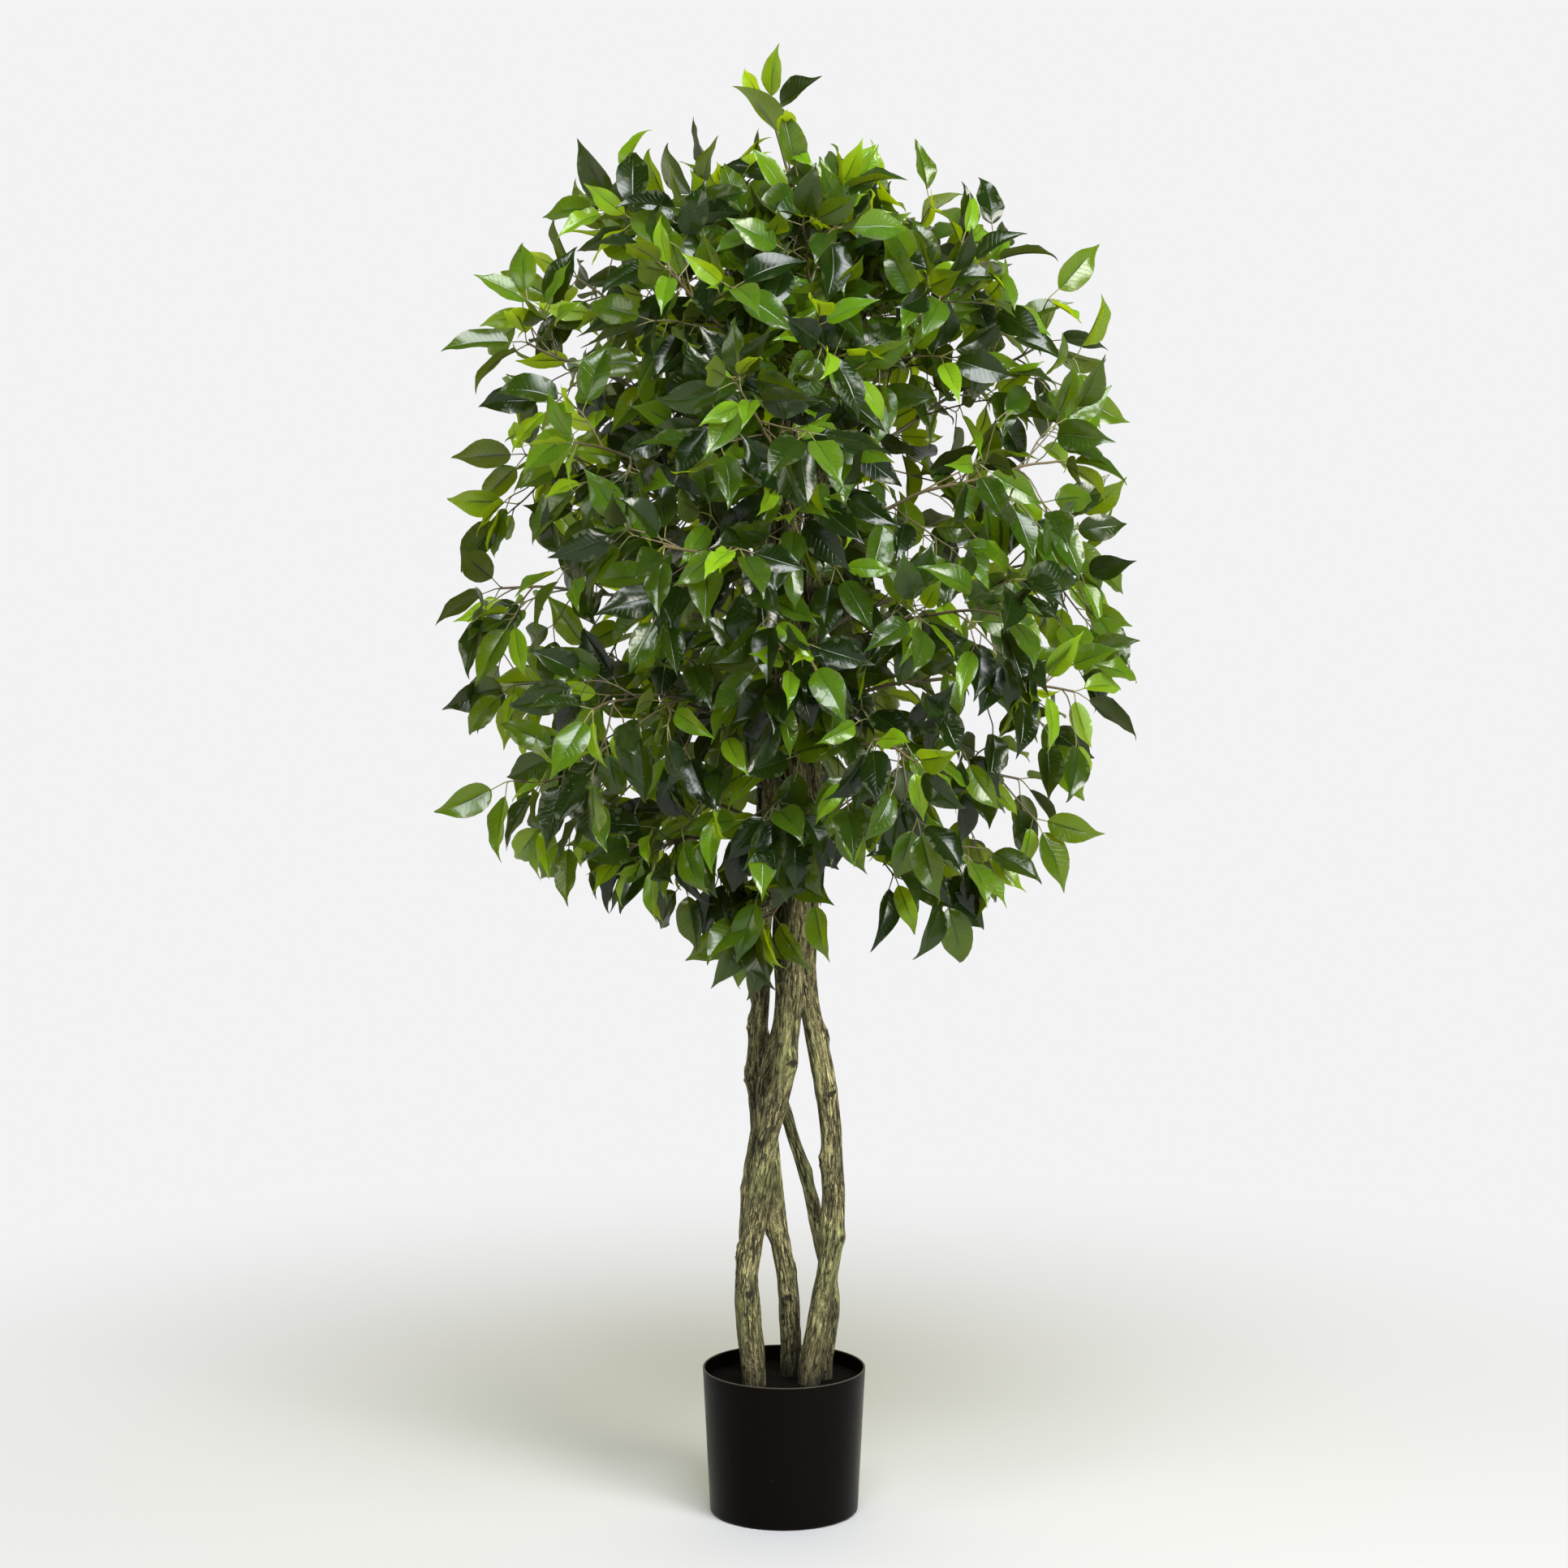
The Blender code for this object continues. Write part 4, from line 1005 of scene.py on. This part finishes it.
class MeshPile:
    # gathers lofts in one mesh, with their place on the leaf and their tone as UV maps

    def __init__(self):
        self.points, self.spots, self.faces = [], [], []
        self.finishes, self.tones = [], []

    def addLoft(self, rings, places, across, sides, finish, tone, tip=None):
        # rings run clockwise about the way they follow each other
        base, count = len(self.points), len(across)
        for ring, place in zip(rings, places):
            self.points.extend(ring)
            self.spots.extend((place, 0.5 + 0.5 * share) for share in across)
        faces = [(tuple(range(base, base + count)), down)]
        for k in range(len(rings) - 1):
            a, b = base + k * count, base + (k + 1) * count
            for i in range(count):
                j = (i + 1) % count
                faces.append(((a + j, a + i, b + i, b + j), sides[i]))
        last = base + (len(rings) - 1) * count
        if tip is None:
            faces.append((tuple(range(last + count - 1, last - 1, -1)), up))
        else:
            end = len(self.points)
            self.points.append(tip)
            self.spots.append((1.0, 0.5))
            for i in range(count):
                faces.append(((last + (i + 1) % count, last + i, end), sides[i]))
        for corners, side in faces:
            self.faces.append(corners)
            self.finishes.append(finish)
            self.tones.append((tone, side))

    def toMesh(self, name):
        mesh = bpy.data.meshes.new(name)
        mesh.from_pydata([tuple(point) for point in self.points], [], self.faces)
        addMaps(mesh, {"leafPlace": self.spots})
        totals = [len(corners) for corners in self.faces]
        tones = np.repeat(np.array(self.tones, np.float32), totals, axis=0)
        mesh.uv_layers.new(name="leafTone").data.foreach_set("uv", tones.ravel())
        mesh.polygons.foreach_set("material_index", np.array(self.finishes, np.int32))
        mesh.shade_smooth()
        mesh.set_sharp_from_angle(angle=math.radians(70))
        mesh.update()
        return mesh


def crooked(point):
    # real wire is never quite straight
    return point + noise.noise_vector(point * wire["crookPerMetre"]) * wire["crook"]


def addTube(pile, points, radii, sides, finish, tone):
    # a round wire through the points, without twist
    normal = None
    rings = []
    for i, (point, radius) in enumerate(zip(points, radii)):
        along = (points[min(i + 1, len(points) - 1)] - points[max(i - 1, 0)]).normalized()
        if normal is None:
            normal = levelSide(along).cross(along)
        normal = (normal - along * normal.dot(along)).normalized()
        side = along.cross(normal)
        ring = []
        for k in range(sides):
            angle = math.tau * k / sides
            ring.append(point + (side * math.cos(angle) + normal * math.sin(angle)) * radius)
        rings.append(ring)
    places = [i / (len(points) - 1) for i in range(len(points))]
    pile.addLoft(rings, places, [0.0] * sides, [up] * sides, finish, tone)


def growWire(pile, shoot, form, rng, foot=()):
    # a crooked wire along the shoot that thins to its end; foot goes before it
    steps, (thick, thin) = form["steps"], form["radii"]
    points = [*foot, *(crooked(bezier(shoot["handles"], i / steps)) for i in range(steps + 1))]
    radii = [thick] * len(foot) + [thick + (thin - thick) * i / steps for i in range(steps + 1)]
    addTube(pile, points, radii, form["sides"], brownTwig, rng.random())


def leafRings(leaf, rng):
    # the blade's sections from its base, and its tip
    form = leafForm
    aim = np.array(leaf["aim"])
    facing = np.array(leaf["facing"])
    normal = facing - aim * facing.dot(aim)
    normal /= np.linalg.norm(normal)
    side = np.cross(aim, normal)
    places = np.array(form["places"] + [1.0])
    drawn = ("curl", "sway", "twist", "fold", "round", "wave", "waves")
    curl, sway, twist, fold, rounding, wave, waves = (rng.uniform(*form[key]) for key in drawn)
    phases = rng.uniform(0, math.tau), rng.uniform(0, math.tau)
    past = np.maximum(places - form["curlFrom"], 0) / (1 - form["curlFrom"])
    dip = leaf["bend"] * places + curl * past**2
    yaw = sway * places**2 + 0.6 * sway * past
    ways = np.outer(np.cos(dip) * np.cos(yaw), aim) - np.outer(np.sin(dip), normal)
    ways += np.outer(np.cos(dip) * np.sin(yaw), side)
    steps = np.diff(places) * leaf["length"]
    run = np.cumsum((ways[1:] + ways[:-1]) / 2 * steps[:, None], axis=0)
    middles = np.array(leaf["start"]) + aim * leaf["stalk"] + np.vstack([np.zeros(3), run])
    tops = np.outer(np.cos(dip), normal) + np.outer(np.sin(dip), aim)
    tops -= ways * np.sum(tops * ways, axis=1)[:, None]
    tops /= np.linalg.norm(tops, axis=1)[:, None]
    asides = np.cross(ways, tops)
    roll = twist * places
    turned = asides * np.cos(roll)[:, None] + tops * np.sin(roll)[:, None]
    tops = tops * np.cos(roll)[:, None] - asides * np.sin(roll)[:, None]
    rings = []
    for k, width in enumerate(form["widths"]):
        half = 0.5 * leaf["width"] * form["narrow"] * width
        place = places[k]
        ribShare = 1 - clamped((place - form["ribEnd"]) / form["ribFade"])
        ring = []
        for isUnder, columns in ((False, form["across"]), (True, form["under"])):
            for share in columns:
                size = abs(share)
                rise = half * (fold * size - rounding * size**2)
                phase = phases[0] if share > 0 else phases[1]
                ripple = math.sin(math.tau * waves * place + phase)
                rise += wave * size**2 * ripple * min(width * 2, 1)
                thick = 0.5 * form["thickness"] * (1 - size**2) * min(width * 3, 1)
                if isUnder:
                    rise -= thick + (form["rib"] * (0.3 + 0.7 * ribShare) * (size == 0))
                else:
                    rise += thick + form["topRib"] * (size == 0)
                ring.append(middles[k] + turned[k] * (half * share) + tops[k] * rise)
        rings.append(ring)
    return np.array(rings), middles[-1]


def fitShare(points, start):
    # the largest size, up to 1, at which the leaf stays in the box when shrunk to its foot
    reach = points - start
    room = np.where(reach > 0, boxHigh - leafForm["boxRoom"], boxLow + leafForm["boxRoom"]) - start
    with np.errstate(divide="ignore", invalid="ignore"):
        shares = np.where(np.abs(reach) > 1e-6, room / reach, 1.0)
    return float(min(1.0, shares.min()))


def addLeaf(pile, leaf, rng):
    start = crooked(leaf["start"])
    leaf = dict(leaf, start=start)
    rings, tip = leafRings(leaf, rng)
    # painted light: leaves towards the crown's sides and top draw lighter tones, so they are
    # painted lighter and let more light through, standing in for the brighter light there;
    # otherwise the tone is random
    lowest, highest = leafColours["outerTop"]
    outer = max(abs(start.x) / leafColours["outerSide"], (start.z - lowest) / (highest - lowest))
    tone = rng.random() ** (1 - leafColours["outerGain"] * clamped(outer) ** 2)
    origin = np.array(start)
    share = fitShare(np.vstack([rings.reshape(-1, 3), tip]), origin)
    if share < leafForm["leastFit"]:
        return False
    rings = [[Vector(point) for point in ring] for ring in origin + (rings - origin) * share]
    tip = Vector(origin + (tip - origin) * share)
    across = leafForm["across"] + leafForm["under"]
    finish = youngLeaf if leaf["young"] else matureLeaf
    pile.addLoft(rings, leafForm["places"], across, [up] * 6 + [down] * 6, finish, tone, tip)
    stalk, aim = leaf["stalk"] * share, leaf["aim"]
    base = start + aim * (stalk + leafForm["intoBlade"])
    handles = (start, start + leaf["along"] * (stalk * 0.35), base - aim * (stalk * 0.45), base)
    points = [bezier(handles, t) for t in (0, 0.3, 0.6, 1)]
    radii = [leafForm["stalkRadius"] * share for share in (1, 1, 0.9, 0.85)]
    addTube(pile, points, radii, leafForm["stalkSides"], oliveStalk, tone)
    return True


def makeLeafMaterial(name, kind):
    look = leafColours
    material, tree = newMaterial(name)
    along, aside = tree.mapped("leafPlace")
    tone, isUpper = tree.mapped("leafTone")
    across = tree.math("ABSOLUTE", tree.math("MULTIPLY_ADD", aside, 2.0, -1.0))
    # side veins sweep forward from the rib in shallow arcs
    sweep = tree.times(tree.math("POWER", across, 0.8), look["veinSweep"])
    veins = tree.times(tree.math("ADD", along, sweep), look["veinTurns"])
    veins = tree.remap(tree.math("SINE", veins), 0.80, 0.99)
    veins = tree.times(veins, tree.remap(across, 0.70, 0.95, 1.0, 0.0))
    lines = tree.times(veins, look["veinShade"])
    rib = tree.times(tree.remap(across, 0.02, 0.05, 1.0, 0.0), look[kind + "Vein"])
    ribEnd = tree.remap(along, 0.46, 0.66, 1.0, 0.0)
    thickRib = tree.times(tree.remap(across, 0.04, 0.09, 1.0, 0.0), ribEnd)
    mottle = tree.grain(tree.place(), look["mottleScale"])
    _, middle, high = look[kind]
    upper = tree.ramp(tree.weighed((tone, 0.75), (mottle, 0.25)), (0.15, 0.5, 0.9), look[kind])
    upper = tree.mix(rib, tree.mix(lines, upper, high), look["freshBelow"])
    below = tree.mix(tree.times(mottle, 0.5), look[kind + "Below"], middle)
    below = tree.mix(tree.times(veins, 0.2), below, middle)
    colour = tree.mix(isUpper, below, upper)
    # some leaves let far more light through than others
    least, most = look[kind + "Tint"]
    tint = tree.math("MULTIPLY_ADD", tree.math("POWER", tone, look["tintPower"]), most, least)
    tint = tree.times(tint, tree.math("MULTIPLY_ADD", thickRib, -look["ribShade"], 1.0))
    tints = tree.add("ShaderNodeCombineColor", {0: tint, 1: tint, 2: tint})[0]
    through = tree.mix(lines, look[kind + "Through"], middle)
    through = tree.mix(1.0, through, tints, "MULTIPLY")
    relief = tree.weighed((veins, -0.5), (mottle, 0.6))
    normal = tree.bump(relief, look["reliefDepth"], look["bump"])
    roughness = tree.remap(isUpper, 0.0, 1.0, *look["roughness"])
    roughness = tree.math("ADD", roughness, tree.times(mottle, look["roughMottle"]))
    solid = tree.surface(colour, roughness, normal, look["shine"])
    clear = tree.add("ShaderNodeBsdfTranslucent", {"Color": through, "Normal": normal})[0]
    inputs = {0: look[kind + "Share"], 1: solid, 2: clear}
    tree.finish(tree.add("ShaderNodeMixShader", inputs)[0])
    return material


def makeWireMaterial(name):
    dark, light, roughness = wire[name]
    material, tree = newMaterial(name)
    flecks = tree.grain(tree.place(), wire["fleckScale"])
    tone = tree.weighed((tree.mapped("leafTone")[0], 0.45), (flecks, 0.55))
    colour = tree.ramp(tone, (0.25, 0.75), (dark, light))
    tree.finish(tree.surface(colour, roughness, tree.bump(flecks, wire["fleckDepth"], 0.5)))
    return material


def buildSpray(index, spray, materials):
    pile = MeshPile()
    rng = random.Random(leafForm["seed"] + index)
    growWire(pile, spray["main"], wire, rng, [spray["foot"]])
    for shoot in spray["twigs"]:
        growWire(pile, shoot, twig, rng)
    for shoot in spray["smallTwigs"]:
        growWire(pile, shoot, innerShoot, rng)
    shoots = [spray["main"], *spray["twigs"], *spray["smallTwigs"]]
    leaves = sum(addLeaf(pile, leaf, rng) for shoot in shoots for leaf in shoot["leaves"])
    number = f"{index + 1:02d}"
    mesh = pile.toMesh("leafySpray" + number)
    linkPiece("leafySpray" + number, mesh, materials, "spray_" + number)
    return leaves, len(pile.faces)


# The studio: a pale floor, a white surround, soft lights, and the photograph's viewpoint

studio = {
    "floor": (0.340, 0.340, 0.372), "floorRoughness": 0.8, "floorSize": 60, "floorDrop": 0.0002,
    "fade": (0.35, 1.7), "surround": (0.895, 0.895, 0.905), "lightColour": (1.0, 0.99, 0.62),
    "frontLight": 0.0, "backLight": 1.90, "overheadLight": 0.03, "mirrorShare": 0.25,
    "eye": (0, -4.6, 1.45), "pitch": 7.82, "lens": 97.55, "lampAim": (0, 0, 1.0),
    # place, size, watts and colour
    "lamps": {
        "rightSoftbox": ((2.9, -3.3, 2.5), 2.4, 370, (1.0, 0.99, 0.90)),
        "leftSoftbox": ((-3.4, -2.0, 2.4), 2.0, 45, (1.0, 0.99, 0.85)),
        "overheadSoftbox": ((0.3, -2.4, 4.4), 2.8, 350, (0.95, 0.98, 1.0)),
    },
}


def makeFloorMaterial():
    # matt near the pot, and fading to the white of the surround farther off
    material, tree = newMaterial("paleFloor")
    inputs = {"Base Color": studio["floor"], "Roughness": studio["floorRoughness"]}
    near = tree.add("ShaderNodeBsdfPrincipled", inputs)[0]
    far = tree.add("ShaderNodeEmission", {"Color": studio["surround"]})[0]
    off = tree.add("ShaderNodeVectorMath", {0: tree.place()}, operation="LENGTH")["Value"]
    inputs = {0: tree.remap(off, *studio["fade"]), 1: near, 2: far}
    tree.finish(tree.add("ShaderNodeMixShader", inputs)[0])
    return material


def makeSurround():
    # bright behind and a little above, dark on the viewer's side; the tree stands before white
    world = bpy.data.worlds.new("whiteSurround")
    bpy.context.scene.world = world
    tree = ShaderTree(world)
    way = tree.add("ShaderNodeTexCoord")["Generated"]
    _, y, z = tree.add("ShaderNodeSeparateXYZ", {0: way})
    back = tree.remap(y, -0.2, 0.7, studio["frontLight"], studio["backLight"])
    overhead = tree.remap(z, 0.1, 0.9, 0.0, studio["overheadLight"])
    # dimmer where shiny surfaces mirror it, so that the dark leaves stay dark
    rays = tree.add("ShaderNodeLightPath")
    dim = tree.math("MULTIPLY_ADD", rays["Is Glossy Ray"], studio["mirrorShare"] - 1, 1.0)
    strength = tree.times(tree.math("ADD", back, overhead), dim)
    inputs = {"Color": studio["lightColour"], "Strength": strength}
    light = tree.add("ShaderNodeBackground", inputs)[0]
    backdrop = tree.add("ShaderNodeBackground", {"Color": studio["surround"]})[0]
    inputs = {0: rays["Is Camera Ray"], 1: light, 2: backdrop}
    glow = tree.add("ShaderNodeMixShader", inputs)[0]
    tree.add("ShaderNodeOutputWorld", {"Surface": glow})


def buildStudio():
    half = studio["floorSize"] / 2
    corners = [(-half, -half, 0), (half, -half, 0), (half, half, 0), (-half, half, 0)]
    mesh = bpy.data.meshes.new("paleFloor")
    mesh.from_pydata(corners, [], [(0, 1, 2, 3)])
    mesh.materials.append(makeFloorMaterial())
    floor = newObject("paleFloor", mesh)
    floor.location.z = -studio["floorDrop"]
    makeSurround()
    for name, (place, size, watts, colour) in studio["lamps"].items():
        light = bpy.data.lights.new(name, "AREA")
        light.shape = "DISK"
        light.size, light.energy, light.color = size, watts, colour
        lamp = newObject(name, light)
        lamp.location = place
        aim = Vector(studio["lampAim"]) - Vector(place)
        lamp.rotation_euler = aim.to_track_quat("-Z", "Y").to_euler()
        lamp.visible_camera = False
    camera = newObject("photoCamera", bpy.data.cameras.new("photoCamera"))
    camera.location = studio["eye"]
    camera.rotation_euler = (math.radians(90 - studio["pitch"]), 0, 0)
    camera.data.lens = studio["lens"]
    camera.data.sensor_width = 36
    camera.data.clip_end = 200
    bpy.context.scene.camera = camera
    bpy.context.scene.view_settings.view_transform = "Standard"
    print("studio set")


buildPot()
buildFill()
barkMaterial = makeBarkMaterial()
for stemName in stems:
    print(stemName, "barked:", buildStem(stemName, barkMaterial), "faces")
leafMaterials = [
    makeLeafMaterial("matureLeaf", "deep"), makeLeafMaterial("youngLeaf", "fresh"),
    makeWireMaterial("brownTwig"), makeWireMaterial("oliveStalk"),
]
noise.seed_set(wire["crookSeed"])  # without it, the wires crook another way each run
counts = [buildSpray(i, spray, leafMaterials) for i, spray in enumerate(planCrown())]
leafCount, faceCount = (sum(column) for column in zip(*counts))
print("sprays grown:", len(counts), "with", leafCount, "leaves and", faceCount, "faces")
buildStudio()
